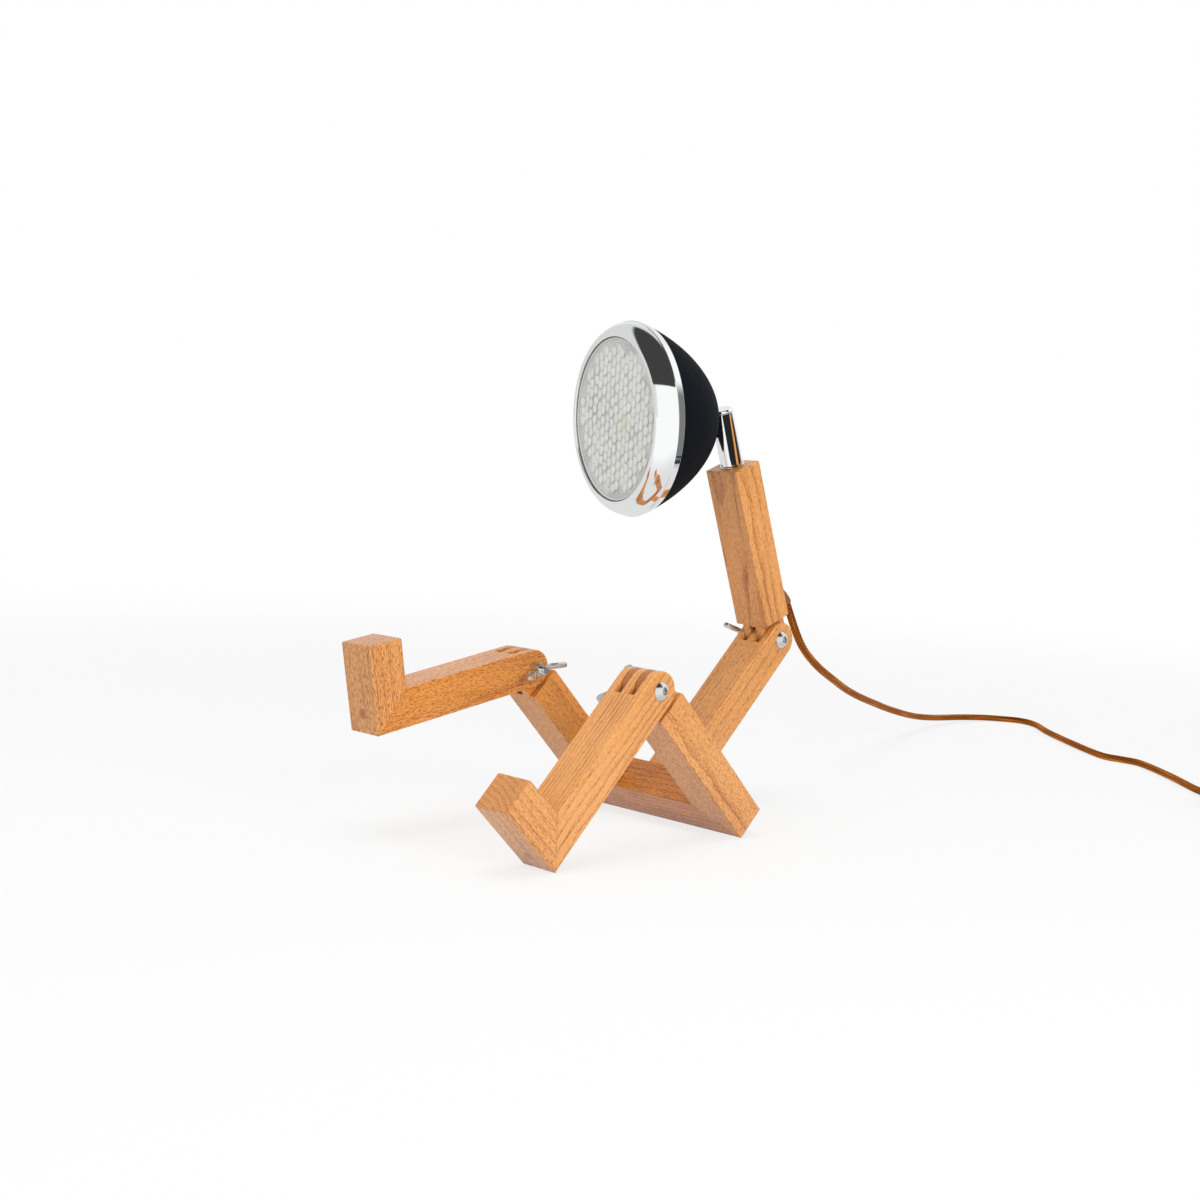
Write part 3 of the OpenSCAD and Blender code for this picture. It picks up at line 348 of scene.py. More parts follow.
def timber_finish(name, grain, pith=(-34, 22), ring=None, line=0.8, tone=0.0, fine=0.5, wave=1.3, tint=None,
                  pivot=None, seam=None):
    """Satin lacquer on wood whose fibres run along a frame's Z, with growth rings round a far pith.

    ring is the rings' width in millimetres, line how dark they are and tone how dark the whole is. fine is
    how many pores lie between the rings, wave how far the rings stray and tint what multiplies the colour.
    pivot is the frame of a joint whose rounded fingers are darkened, partly for their bare end grain and
    partly as painted shade deep in their slots, and seam a frame on a glued mitre."""
    wood = bpy.context.scene.lamp_timber
    ring = ring or wood.ring / MM
    finish = Finish("timber_" + name, IOR=1.45, Coat_Weight=0.4, Coat_Roughness=0.16)

    def fibres(wide, tall, detail, rough=0.5):
        """Noise drawn out along the grain, with patches of a width and a length in millimetres."""
        return finish.noise(finish.place(grain, (wide * MM, wide * MM, tall * MM)), 1.0, detail, rough)

    # Growth rings that wander a little, each with its dark late wood at the outside
    x, y, _ = finish.place(grain).parts()
    slow, sway = fibres(24, 80, 1.0) - 0.5, fibres(6, 30, 2.0) - 0.5
    bend = slow * (wave * ring) + sway * (0.5 * ring)
    radius = ((x - pith[0]) ** 2 + (y - pith[1]) ** 2) ** 0.5 + bend
    phase = (radius / ring).apply("FRACT")
    sharpness, fall = 4, 22.0
    late = phase ** sharpness * (fall - phase * fall).apply("MINIMUM", 1.0)
    # Patches of stronger rings, fine streaks, pores, cross rays and broad clouds
    patch = fibres(8, 40, 1.0).step(0.3, 0.66)
    streak = fibres(0.6, 14, 3.0, 0.62) - 0.5
    fleck = fibres(0.5, 2.9, 2.0, 0.55)
    pores = fleck.step(0.52, 0.60) * (late * (1 - fine) + fine)
    ray = fibres(1.6, 1.9, 2.0) - 0.5
    cloud = fibres(13, 50, 2.0) - 0.5
    shade = late * (patch * 0.6 + 0.4) * line + streak * 1.8 + cloud * 0.9 + ray * 0.9 + (tone + 0.12)
    # Near a joint the rounded fingers get darker: partly their bare end grain, partly painted shade deep in
    # their slots
    if pivot:
        finger_r, darker = HALF_D + 0.1, 0.75
        flat = finish.node("VectorMath", {"operation": "MULTIPLY"}, {0: finish.place(pivot), 1: (0, 1, 1)})
        away = finish.node("VectorMath", {"operation": "LENGTH"}, {0: flat}, "Value")
        shade = shade + (1 - away.step(finger_r, finger_r + 0.5)) * darker
    colour = finish.mix(shade.apply("MAXIMUM", 0.0), wood.pale[:], wood.deep[:])
    colour = finish.mix(pores * 0.72, colour, wood.pore[:])
    if tint:
        colour = finish.mix(1.0, colour, tint, "MULTIPLY")
    end = finish.facing(grain, (0, 0, 1)).apply("ABSOLUTE") ** 5
    colour = finish.mix(end * (0.22 + late * 0.35), colour, wood.deep[:])
    if seam:
        gap = finish.place(seam).parts()[2].apply("ABSOLUTE")
        colour = finish.mix((1 - gap.step(0.06, 0.3)) * 0.35, colour, wood.pore[:])
    relief = pores * -1.0 - late * 0.3 + streak * 0.8 + ray * 0.2
    return finish.feed(Base_Color=colour, Roughness=0.30 + pores * 0.25 + cloud * 0.12 + ray * 0.06,
                       Normal=finish.bump(relief, 0.07 * MM, 0.7)).material


def plain_finish(name, colour, roughness, metallic=0.0, size=2.0, spread=0.1, relief=0.02, tint=None,
                 **constants):
    """A finish of one colour with clouds, fine texture and worn patches; sizes in millimetres."""
    finish = Finish(name, Metallic=metallic, **constants)
    point = finish.place()
    cloud = finish.noise(point, 0.35 / size, 2.0)
    grain = finish.noise(point, 2.4 / size, 3.0, 0.62)
    tint = tint or tuple(c * (1 - 2.2 * spread) for c in colour)
    base = finish.mix((cloud - 0.5) * 1.4 + grain * 0.5 + 0.1, colour, tint)
    rough = roughness * (1 - spread) + (cloud * 0.7 + grain * 0.6) * roughness * 1.6 * spread
    bump = finish.bump(grain, relief * MM, 0.6)
    return finish.feed(Base_Color=base, Roughness=rough, Normal=bump).material


def chrome_finish():
    """Polished chrome with a trace of handling."""
    metal = bpy.context.scene.lamp_metal
    finish = Finish("polished_chrome", Metallic=1.0)
    point = finish.place()
    smear = finish.noise(point, 0.045, 3.0, 0.6)
    dust = finish.noise(point, 1.8, 1.0).step(0.70, 0.78)
    base = finish.mix(smear * 0.05 + dust * 0.08, metal.chrome[:], WORN_CHROME)
    rough = smear.step(0.35, 0.75) * 0.035 + dust * 0.05 + 0.022
    return finish.feed(Base_Color=base, Roughness=rough).material


def zinc_finish(name, roughness):
    """Bright zinc plate with faint blue and straw clouds."""
    metal = bpy.context.scene.lamp_metal
    finish = Finish(name, Metallic=1.0)
    point = finish.place()
    cloud = finish.noise(point, 0.22, 2.0)
    grain = finish.noise(point, 2.1, 3.0, 0.6)
    base = finish.mix(cloud.step(0.35, 0.7), metal.zinc[:], STRAW_ZINC)
    base = finish.mix(grain.step(0.55, 0.8) * 0.35, base, SCRATCHED_ZINC)
    return finish.feed(Base_Color=base, Roughness=roughness * 0.7 + grain * roughness * 0.6,
                       Normal=finish.bump(grain, 0.02 * MM, 0.5)).material


def textile_finish():
    """Braided lustrous yarn on the cord's own length and girth coordinates, with painted shade between the
    yarns and painted highlight streaks along the cord.
    """
    cord = bpy.context.scene.lamp_cord
    weave, sheen_round, sheen_along = 320, 9, 22  # crossings in a metre, painted sheen streaks in a turn and in a metre
    finish = Finish("cord_braid", Metallic=0.92, Specular_IOR_Level=0.2,
                    Specular_Tint=(0.94, 0.70, 0.50, 1))
    around, along, _ = finish.node("UVMap", {"uv_map": "braid"}, {}).parts()
    turns = cord.strands / 2
    first = ((around * turns + along * weave).apply("FRACT") - 0.5).apply("ABSOLUTE")
    second = ((around * turns - along * weave).apply("FRACT") - 0.5).apply("ABSOLUTE")
    over = (around * turns * 2).apply("FRACT").step(0.42, 0.58)
    yarn = (1 - first * 2) * over + (1 - second * 2) * (1 - over)
    ridge = yarn.step(0.0, 0.6)
    fuzz = finish.noise(finish.place(), 5.0, 3.0)
    drawn_out = finish.node("CombineXYZ", {}, {0: around * sheen_round, 1: along * sheen_along, 2: 0.0})
    painted_sheen = finish.noise(drawn_out, 1.0, 2.0)
    cloud = finish.noise(finish.place(), 0.05, 2.0)
    # The yarns' ridges are painted lit and the hollows between them are painted in shade; the streaks add a
    # painted sheen
    lit = ridge * 0.75 + fuzz * 0.2 + painted_sheen.step(0.35, 0.65) * 0.35 - 0.15
    base = finish.mix(lit, cord.shade[:], cord.yarn[:])
    # Painted highlight: pale streaks along the cord, as where its sheen catches the light
    base = finish.mix(painted_sheen.step(0.52, 0.66) * 0.6, base, PAINTED_SILK_HIGHLIGHT)
    base = finish.mix(cloud.step(0.5, 0.8) * 0.2, base, cord.shade[:])
    return finish.feed(Base_Color=base, Roughness=0.46 - ridge * 0.1 + fuzz * 0.1,
                       Normal=finish.bump(ridge + fuzz * 0.15, 0.2 * MM, 0.9)).material


def lens_finish():
    """Pressed glass with a milky field, painted shade between the pebbles and on one side of each, a greyer
    ring in the groove, a painted shadow at the rim and a painted glow of the bulb.
    """
    height = bpy.context.scene.lamp_head.relief / MM
    finish = Finish("lens_glass", IOR=1.5, Transmission_Weight=0.1, Coat_Weight=0.35, Coat_Roughness=0.04)
    x, y, z = finish.place(HEAD).parts()
    # Radii between which the milky field ends, the groove round it starts and ends, and the painted shadow
    # at the rim starts
    field_end, groove_start, groove_end, rim_shadow_start = (45.9, 46.5), (45.6, 46.2), (46.4, 47.2), (46.9, 47.3)
    away = (x ** 2 + y ** 2) ** 0.5
    inside = 1 - away.step(*field_end)
    top = (z - (LENS_REACH - LENS_SINK - height)) / height
    gap = (1 - top.step(0.05, 0.8)) * inside
    cloud = finish.noise(finish.place(), 0.06, 2.0)
    fine = finish.noise(finish.place(), 1.1, 2.0)
    base = finish.mix(cloud, MILK_PALE, MILK_DULL)
    # Painted shade in the gaps between the pebbles
    base = finish.mix(gap * cloud.step(0.25, 0.7) * 0.5, base, PAINTED_PEBBLE_SHADE)
    # Painted shade on one side of each pebble
    shaded_side = finish.facing(HEAD, (0.75, -0.6, 0))
    base = finish.mix(shaded_side.step(0.12, 0.7) * inside * 0.72, base, PAINTED_PEBBLE_SHADE)
    groove = away.step(*groove_start) * (1 - away.step(*groove_end))
    base = finish.mix(groove * 0.4, base, GLASS_GROOVE)
    # Painted shadow at the rim, where the glass meets the bezel
    base = finish.mix(away.step(*rim_shadow_start) * 0.92, base, PAINTED_RIM_SHADOW)
    # Painted warm glow on the glass in front of the bulb, which is not lit
    bulb_x, bulb_y, bulb_r, glow_r = 8, -3, 2, 13
    glow = 1 - (((x - bulb_x) ** 2 + (y - bulb_y) ** 2) ** 0.5).step(bulb_r, glow_r)
    base = finish.mix(glow * 0.25, base, PAINTED_BULB_GLOW)
    return finish.feed(Base_Color=base, Roughness=0.10 + fine * 0.12 + gap * 0.1).material


# ---------------------------------------------------------------- modelling

# Distance in metres up to which points are welded; angles in degrees up to which faces count as one flat
# and above which an edge is rounded over
WELD, FLAT, SHARP = 5e-6, 0.3, 25


def alone(piece):
    """Makes a piece the only selected and active object."""
    bpy.ops.object.select_all(action="DESELECT")
    piece.select_set(True)
    bpy.context.view_layer.objects.active = piece
    return piece


def drawn(name, points, edges=(), faces=()):
    """A new piece from points in metres."""
    mesh = bpy.data.meshes.new(name)
    mesh.from_pydata([tuple(p) for p in points], list(edges), list(faces))
    piece = bpy.data.objects.new(name, mesh)
    bpy.context.scene.collection.objects.link(piece)
    return alone(piece)


def edit(*steps):
    """Runs edit-mode steps on everything in the active piece."""
    bpy.ops.object.mode_set(mode="EDIT")
    bpy.ops.mesh.select_all(action="SELECT")
    for step in steps:
        step()
    bpy.ops.object.mode_set(mode="OBJECT")


def applied(piece, kind, **settings):
    """Adds a modifier, sets it and applies it."""
    alone(piece)
    modifier = piece.modifiers.new(kind.title(), kind)
    for key, value in settings.items():
        setattr(modifier, key, value)
    bpy.ops.object.modifier_apply(modifier=modifier.name)
    return piece


def smooth(piece, angle=35):
    """Smooth shading up to an angle, with flat faces that stay flat."""
    alone(piece)
    bpy.ops.object.shade_smooth_by_angle(angle=math.radians(angle))
    return applied(piece, "WEIGHTED_NORMAL", keep_sharp=True)


def eased(node, name, width, segments=3, share=None):
    """A copy of a solid with its edges rounded over by a width in metres; share scales that at a place."""
    piece = bpy.data.objects.new(name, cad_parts[node].data.copy())
    bpy.context.scene.collection.objects.link(piece)
    alone(piece)
    piece.data.materials.clear()
    bpy.ops.mesh.customdata_custom_splitnormals_clear()
    edit(lambda: bpy.ops.mesh.remove_doubles(threshold=WELD),
         lambda: bpy.ops.mesh.dissolve_limited(angle_limit=math.radians(FLAT)))
    if width:
        work = bmesh.new()
        work.from_mesh(piece.data)
        weight = work.edges.layers.float.new("bevel_weight_edge")
        for edge in work.edges:
            if edge.is_manifold and edge.calc_face_angle(0) > math.radians(SHARP):
                edge[weight] = share(edge.verts[0].co, edge.verts[1].co) if share else 1.0
        work.to_mesh(piece.data)
        work.free()
        applied(piece, "BEVEL", width=width, segments=segments, limit_method="WEIGHT",
                use_clamp_overlap=False, loop_slide=True)
    return smooth(piece)


def spun(name, outline, place, steps=160, loop=True):
    """A piece turned from an outline of (radius, height) points in millimetres about a frame's Z."""
    points = [place @ Vector((r * MM, 0, h * MM)) for r, h in outline]
    count = len(points)
    edges = [(i, (i + 1) % count) for i in range(count if loop else count - 1)]
    piece = drawn(name, points, edges)
    centre, axis = place.to_translation(), place.to_3x3() @ Vector((0, 0, 1))
    edit(lambda: bpy.ops.mesh.spin(steps=steps, angle=2 * math.pi, center=centre, axis=axis),
         lambda: bpy.ops.mesh.select_all(action="SELECT"),
         lambda: bpy.ops.mesh.remove_doubles(threshold=2e-6),
         lambda: bpy.ops.mesh.normals_make_consistent(inside=False))
    return piece


def rounded(outline, radii, steps=5):
    """An outline whose corners are replaced by arcs; radii are by corner number."""
    out, count = [], len(outline)
    for i, point in enumerate(outline):
        radius = radii.get(i, 0)
        p = Vector(point)
        if not radius:
            out.append(tuple(p))
            continue
        a, b = Vector(outline[i - 1]) - p, Vector(outline[(i + 1) % count]) - p
        half = a.angle(b) / 2
        reach = min(radius / math.tan(half), a.length * 0.49, b.length * 0.49)
        start, finish = p + a.normalized() * reach, p + b.normalized() * reach
        for k in range(steps + 1):
            t = k / steps
            out.append(tuple(start * (1 - t) ** 2 + p * 2 * t * (1 - t) + finish * t * t))
    return out


def dressed(piece, body, slot, material, *nodes):
    """Gives a piece its finish, the body it rides on and the solids it stands for."""
    piece.data.materials.clear()
    piece.data.materials.append(material)
    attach(piece, body)
    if nodes:
        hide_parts(*nodes)
    return piece


def coat(node, name, body, slot, material, width, segments=3, share=None):
    """Rounds over a copy of one solid and dresses it to stand for that solid."""
    dressed(eased(node, name, width, segments, share), body, slot, material, node)


def repaint(material, *nodes):
    """Puts a finish on solids that are shown as they are."""
    for node in nodes:
        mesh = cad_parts[node].data
        mesh.materials.clear()
        mesh.materials.append(material)


# ---------------------------------------------------------------- cord route, as in the solids

ROUTE = [(3, 158.5, 118), (2, 166.5, 106.5), (0, 175.5, 97.5), (-4, 189, 89), (-12.5, 212, 79),
         (-26.5, 246, 67.5), (-42, 281.5, 56.5), (-57.5, 319, 46.5), (-74.5, 361, 36.5),
         (-88.5, 395.5, 28.5), (-101.5, 432, 20.5), (-113, 467.5, 13.5), (-121, 497.5, 9),
         (-126, 525.5, 6), (-126, 556, 4), (-120, 577.5, 3), (-109.5, 590.5, 2.5),
         (-93, 597, 2.5), (-74, 589.5, 2.5), (-45.5, 562.5, 2.5), (2.5, 524.5, 2.5),
         (40, 498.5, 2.5), (58, 496.5, 2.5), (76, 493, 2.5), (115.5, 462.5, 2.5), (155, 428, 2.5)]
LAY_TURN = -41.0  # turn of the switch, the coil and the plug, which lie beside each other
SWITCH_AT, SWITCH_LEN, SWITCH_H = (214.5, 376.5), 60.0, 16.0
COIL_PITCH, COIL_TURNS, COIL_IN = 5.1, 4.5, 23.0  # distance and number of the turns, inner radius
COIL_OUT = COIL_IN + COIL_PITCH * COIL_TURNS / 2
COIL_S, PLUG_S = 59.5, 2.5  # middles of the coil and the plug from the switch's, along the switch
PLUG_LEN, PLUG_H, BOOT_LEN = 36.0, 13.7, 8.0
RELIEF_BEND = 20.0
RELIEF_LEN, RELIEF_STRAIGHT, RELIEF_PLUG = 20.0, 1.5, 6.0  # outside the torso, straight behind it, inside it
CORD_R = 2.5
ALONG = Vector((cos(LAY_TURN), sin(LAY_TURN), 0))
ASIDE = Vector((-sin(LAY_TURN), cos(LAY_TURN), 0))
SWITCH = Vector((*SWITCH_AT, 0))
COIL = SWITCH + COIL_S * ALONG + COIL_OUT * ASIDE
PLUG = SWITCH + PLUG_S * ALONG + 2 * COIL_OUT * ASIDE
EXIT = (TORSO @ Vector((0, HALF_D * MM, EXIT_UP * MM))) / MM


def relief_at(s):
    """Point of the strain relief's bend at a distance from the wood, in millimetres."""
    angle = max(0.0, s - RELIEF_STRAIGHT) / RELIEF_BEND
    return EXIT + Vector((0, min(s, RELIEF_STRAIGHT) + RELIEF_BEND * math.sin(angle),
                          -RELIEF_BEND * (1 - math.cos(angle))))


def through(points, steps):
    """A smooth curve through points, with the same number of steps between each two."""
    points = [Vector(p) for p in points]
    out = []
    for i in range(len(points) - 1):
        a, b, c = points[max(0, i - 1)], points[i], points[i + 1]
        d = points[min(len(points) - 1, i + 2)]
        for k in range(steps):
            t = k / steps
            out.append(0.5 * (2 * b + (c - a) * t + (2 * a - 5 * b + 4 * c - d) * t * t
                              + (3 * b - a - 3 * c + d) * t ** 3))
    return out + [points[-1]]


def coil_points(steps=40):
    """Two layers of turns: inwards on the floor, then outwards on top of them."""
    out, rise_from, rise_to = [], 2.0, 2.5
    for k in range(int(COIL_TURNS * steps) + 1):
        t = k / steps
        angle = LAY_TURN - 90 + 360 * t
        radius = COIL_IN + COIL_PITCH * abs(COIL_TURNS / 2 - t)
        up = min(1.0, max(0.0, (t - rise_from) / (rise_to - rise_from)))
        height = CORD_R + 2 * CORD_R * up * up * (3 - 2 * up)
        out.append(COIL + Vector((radius * cos(angle), radius * sin(angle), height)))
    return out


def cord_path():
    """Centre line of the whole cord in millimetres, from the torso to the plug."""
    middle = SWITCH + Vector((0, 0, SWITCH_H / 2))
    entry, leave = middle - ALONG * SWITCH_LEN / 2, middle + ALONG * SWITCH_LEN / 2
    run_in, straight, slack, steps = 14, 6, 8, 12
    sag, dip = Vector((0, 0, 1.4)), Vector((0, 0, 0.4))
    before = entry - ALONG * run_in - sag
    lead = through([relief_at(RELIEF_LEN), *ROUTE, before, entry], 6)
    start = [relief_at(s) for s in range(0, int(RELIEF_LEN), 2)]
    coil = coil_points()
    finish = leave + ALONG * (COIL_S - SWITCH_LEN / 2) - Vector((0, 0, SWITCH_H / 2 - CORD_R))
    link = through([leave, leave + straight * ALONG - dip, (leave + finish) / 2,
                    finish - straight * ALONG + dip, finish], 4)
    out = COIL + COIL_OUT * ASIDE + Vector((0, 0, 3 * CORD_R))
    boot = PLUG + Vector((0, 0, PLUG_H / 2)) + ALONG * (PLUG_LEN / 2 + BOOT_LEN)
    tail = through([out, out - slack * ALONG, (out + boot) / 2, boot + straight * ALONG, boot], 4)
    inside = [entry + (leave - entry) * k / steps for k in range(1, steps)]
    return start + lead + inside + link[:-1] + coil[:-1] + tail


def swept(name, points, radius, sides, girth=None):
    """A closed tube along points in millimetres, with coordinates round and along it.

    girth gives the share of the radius at each point."""
    count = len(points)
    heads = [(points[min(i + 1, count - 1)] - points[max(i - 1, 0)]).normalized() for i in range(count)]
    side = heads[0].cross(Vector((0, 0, 1))).normalized()
    verts, run = [], [0.0]
    for i, point in enumerate(points):
        side = (side - heads[i] * side.dot(heads[i])).normalized()
        up = heads[i].cross(side)
        size = radius * (girth(i) if girth else 1.0)
        for k in range(sides):
            angle = 2 * math.pi * k / sides
            verts.append((point + size * (math.cos(angle) * side + math.sin(angle) * up)) * MM)
        if i:
            run.append(run[-1] + (point - points[i - 1]).length * MM)
    faces = []
    for i in range(count - 1):
        here, there = i * sides, (i + 1) * sides
        faces += [(here + k, there + k, there + (k + 1) % sides, here + (k + 1) % sides)
                  for k in range(sides)]
    faces += [tuple(range(sides)), tuple((count - 1) * sides + k for k in reversed(range(sides)))]
    piece = drawn(name, verts, faces=faces)
    layer = piece.data.uv_layers.new(name="braid")
    for face in piece.data.polygons:
        last = face.loop_total > 4 or any(v % sides == sides - 1 for v in face.vertices)
        for loop in face.loop_indices:
            v = piece.data.loops[loop].vertex_index
            around = v % sides
            if last and around == 0:
                around = sides
            layer.data[loop].uv = (around / sides, run[v // sides])
    edit(lambda: bpy.ops.mesh.normals_make_consistent(inside=False))
    return piece


# ---------------------------------------------------------------- pieces

# Distance in metres from a bolt's or a dowel's axis up to which edges stay sharp
HOLE_R = 4 * MM

# Growth rings and colour of each limb, as timber_finish takes them
WOODS = {
    "left_thigh": dict(pith=(111, 18), ring=2.9, line=0.75, tone=-0.03, fine=0.7, wave=0.5),
    # The right thigh's deeper, warmer tint is painted shade: the right leg sits behind the left one
    "right_thigh": dict(pith=(111, -10), ring=2.7, line=0.9, tone=-0.10, fine=0.6, wave=0.5,
                        tint=(1, 0.91, 0.58)),
    "left_shin": dict(pith=(64, 26), ring=2.5, line=0.95, tone=-0.13, fine=0.25, wave=2.4),
    # The right shin's darker tone and deeper, warmer tint are painted shade from the left leg in front of it
    "right_shin": dict(pith=(-95, 20), ring=3.6, line=0.45, tone=0.06, fine=0.8, tint=(1, 0.91, 0.66)),
    "left_foot": dict(pith=(-20, -48), ring=3.4, line=0.6, tone=-0.05, fine=0.6),
    "right_foot": dict(pith=(42, 18), ring=3.4, line=0.6, tone=-0.10, fine=1.0),
    "hip_crossbeam": dict(pith=(30, -40), line=0.8, tone=0.22, tint=(0.97, 0.82, 0.48)),
    "lower_torso": dict(pith=(-48, 26), line=0.55, tone=-0.07),
    "upper_torso": dict(pith=(-14, 30), ring=6.5, line=1.0, tone=-0.06, wave=2.6),
}


def limb_share(pivot, *joints):
    """How much of the round-over an edge gets: less at fingers, almost none at glued faces and bores."""
    at_glue, at_finger, finger_reach, finger_half = 0.14, 0.4, 19 * MM, (HALF_W - 0.3) * MM

    def share(a, b):
        for place, axis in joints:
            if all(abs((p - place).dot(axis)) < 0.06 * MM for p in (a, b)):
                return at_glue
        if pivot is None:
            return 1.0
        near = [pivot.inverted() @ p for p in (a, b)]
        away = max(math.hypot(p.y, p.z) for p in near)
        if away < HOLE_R:
            return 0.0
        inner = all(abs(p.x) < finger_half for p in near)
        return at_finger if away < finger_reach and inner else 1.0
    return share


def sole_share(place, share):
    """As share, but with a sharp edge round the dowel's hole."""
    def with_hole(a, b):
        near = [place.inverted() @ p for p in (a, b)]
        return 0.0 if max(math.hypot(p.x, p.y) for p in near) < HOLE_R else share(a, b)
    return with_hole


class LAMP_OT_timber(bpy.types.Operator):
    """Rounds over the wooden limbs and gives each its own grain"""

    bl_idname = "lamp.timber"
    bl_label = "Wooden limbs"

    def limb(self, node, body, share, grain, slot="wood_light", **joints):
        """Rounds over one limb and gives it wood whose fibres run along a frame's Z."""
        wood = timber_finish(node, grain, **WOODS[node], **joints)
        coat(node, node + "_wood", body, slot, wood, bpy.context.scene.lamp_timber.arris, share=share)

    def execute(self, context):
        hip = HIP.to_3x3()
        seat = (HIP @ Vector((0, LIMB_D * MM, 0)), hip @ Vector((0, 1, 0)))
        waist = HIP @ shift(0, LIMB_D + LIMB_LEN, HALF_W)
        corners = {s: HIP @ shift(s * HIP_W / 2, 0, 0) @ turn(s * 45, "Y") for s in (1, -1)}
        planes = {s: (m.to_translation(), hip @ Vector((s, 0, 1)).normalized()) for s, m in corners.items()}
        for side, word, thigh, place in ((1, "left", LEFT_THIGH, LEFT_SHIN),
                                         (-1, "right", RIGHT_THIGH, RIGHT_SHIN)):
            knee = HIP @ shift(side * THIGH_X, HALF_D, LIMB_LEN)
            self.limb(word + "_thigh", "hips", limb_share(knee, planes[side]), thigh,
                      pivot=knee, seam=corners[side])
            heel = place @ shift(0, -HALF_D, LIMB_LEN) @ turn(-45, "X")
            mitre = (heel.to_translation(), heel.to_3x3() @ Vector((0, 0, 1)))
            self.limb(word + "_shin", word + "_leg", sole_share(place, limb_share(place, mitre)), place,
                      seam=heel)
            sole = place @ shift(0, 0, LIMB_LEN - HALF_D) @ ALONG_Y
            self.limb(word + "_foot", word + "_leg", sole_share(place, limb_share(None, mitre)), sole,
                      seam=heel)
        self.limb("hip_crossbeam", "hips", limb_share(None, *planes.values()),
                  HIP @ shift(0, HALF_D, HALF_W) @ ALONG_X, "wood_dark", seam=corners[1])
        self.limb("lower_torso", "hips", limb_share(waist, seat), HIP @ shift(0, 0, HALF_W) @ ALONG_Y)
        self.limb("upper_torso", "torso", limb_share(TORSO), TORSO, pivot=TORSO)
        return {"FINISHED"}


class LAMP_OT_dowels(bpy.types.Operator):
    """Gives the dowels their end grain"""

    bl_idname = "lamp.dowels"
    bl_label = "Dowels"

    def execute(self, context):
        for word, place in (("left", LEFT_SHIN), ("right", RIGHT_SHIN)):
            dark = timber_finish(word + "_dowel", place @ ALONG_Y, pith=(-5, 3), ring=1.2, line=0.5,
                                 tone=0.75)
            repaint(dark, word + "_foot_dowel")
        repaint(timber_finish("frame_dowels", HIP, pith=(-9, 4), ring=1.2), "mitre_dowels", "torso_dowels")
        return {"FINISHED"}


class LAMP_OT_bolts(bpy.types.Operator):
    """Turns the domed socket bolts of the knees and the waist"""

    bl_idname = "lamp.bolts"
    bl_label = "Pivot bolts"

    def outline(self, pitch):
        """Outline of a bolt whose head stands on height 0, from the dome's pole to the shank's end."""
        steps, end, root_r, bevel = 14, -LIMB_W - SHANK_OUT, SHANK_R - 0.38, 0.5
        dome_r = (HEAD_R ** 2 + HEAD_H ** 2) / (2 * HEAD_H)
        reach = math.asin(HEAD_R * 0.965 / dome_r)
        angles = [reach * k / steps for k in range(steps + 1)]
        dome = [(dome_r * math.sin(a), HEAD_H - dome_r + dome_r * math.cos(a)) for a in angles]
        rim = [(HEAD_R - 0.04, 0.3), (HEAD_R - 0.12, 0.08), (HEAD_R - 0.32, 0.0), (SHANK_R, 0.0)]
        thread_in = 4
        h = thread_in - LIMB_W
        thread = [(SHANK_R, h)]
        while h - pitch > end + bevel + 0.3:
            thread += [(SHANK_R, h), (root_r, h - pitch * 0.45), (root_r, h - pitch * 0.55),
                       (SHANK_R, h - pitch)]
            h -= pitch
        return dome + rim + thread + [(SHANK_R, end + bevel), (SHANK_R - bevel, end), (0, end)]

    def execute(self, context):
        metal = context.scene.lamp_metal
        zinc = zinc_finish("bolt_zinc", roughness=0.2)
        waist = HIP @ shift(HALF_W, LIMB_D + LIMB_LEN, HALF_W) @ ALONG_X
        places = {"left_knee_bolt": ("left_leg", LEFT_SHIN @ shift(HALF_W, 0, 0) @ ALONG_X),
                  "right_knee_bolt": ("right_leg", RIGHT_SHIN @ shift(-HALF_W, 0, 0) @ turn(-90, "Y")),
                  "waist_bolt": ("hips", waist)}
        corner, floor, brim, over, spread, turned = SOCKET / 2 / cos(30), 0.9, 2.6, 3.4, 0.4, 12
        hexagon = [(0, floor), (corner, floor), (corner, brim), (corner + spread, over), (0, over)]
        for node, (body, place) in places.items():
            bolt = spun(node + "_zinc", self.outline(metal.thread / MM), place, 64)
            key = spun("socket_cutter", hexagon, place @ turn(turned, "Z"), 6)
            applied(bolt, "BOOLEAN", operation="DIFFERENCE", object=key, solver="EXACT")
            bpy.data.objects.remove(key)
            dressed(smooth(bolt, 32), body, "zinc", zinc, node)
        return {"FINISHED"}


class LAMP_OT_wing_nuts(bpy.types.Operator):
    """Softens the cast wing nuts"""

    bl_idname = "lamp.wing_nuts"
    bl_label = "Wing nuts"

    def execute(self, context):
        zinc = zinc_finish("cast_zinc", roughness=0.26)
        for word in ("left", "right", "waist"):
            node = word + "_wing_nut"
            coat(node, node + "_cast", word + "_nut", "nut_zinc", zinc, 0.42 * MM)
        return {"FINISHED"}


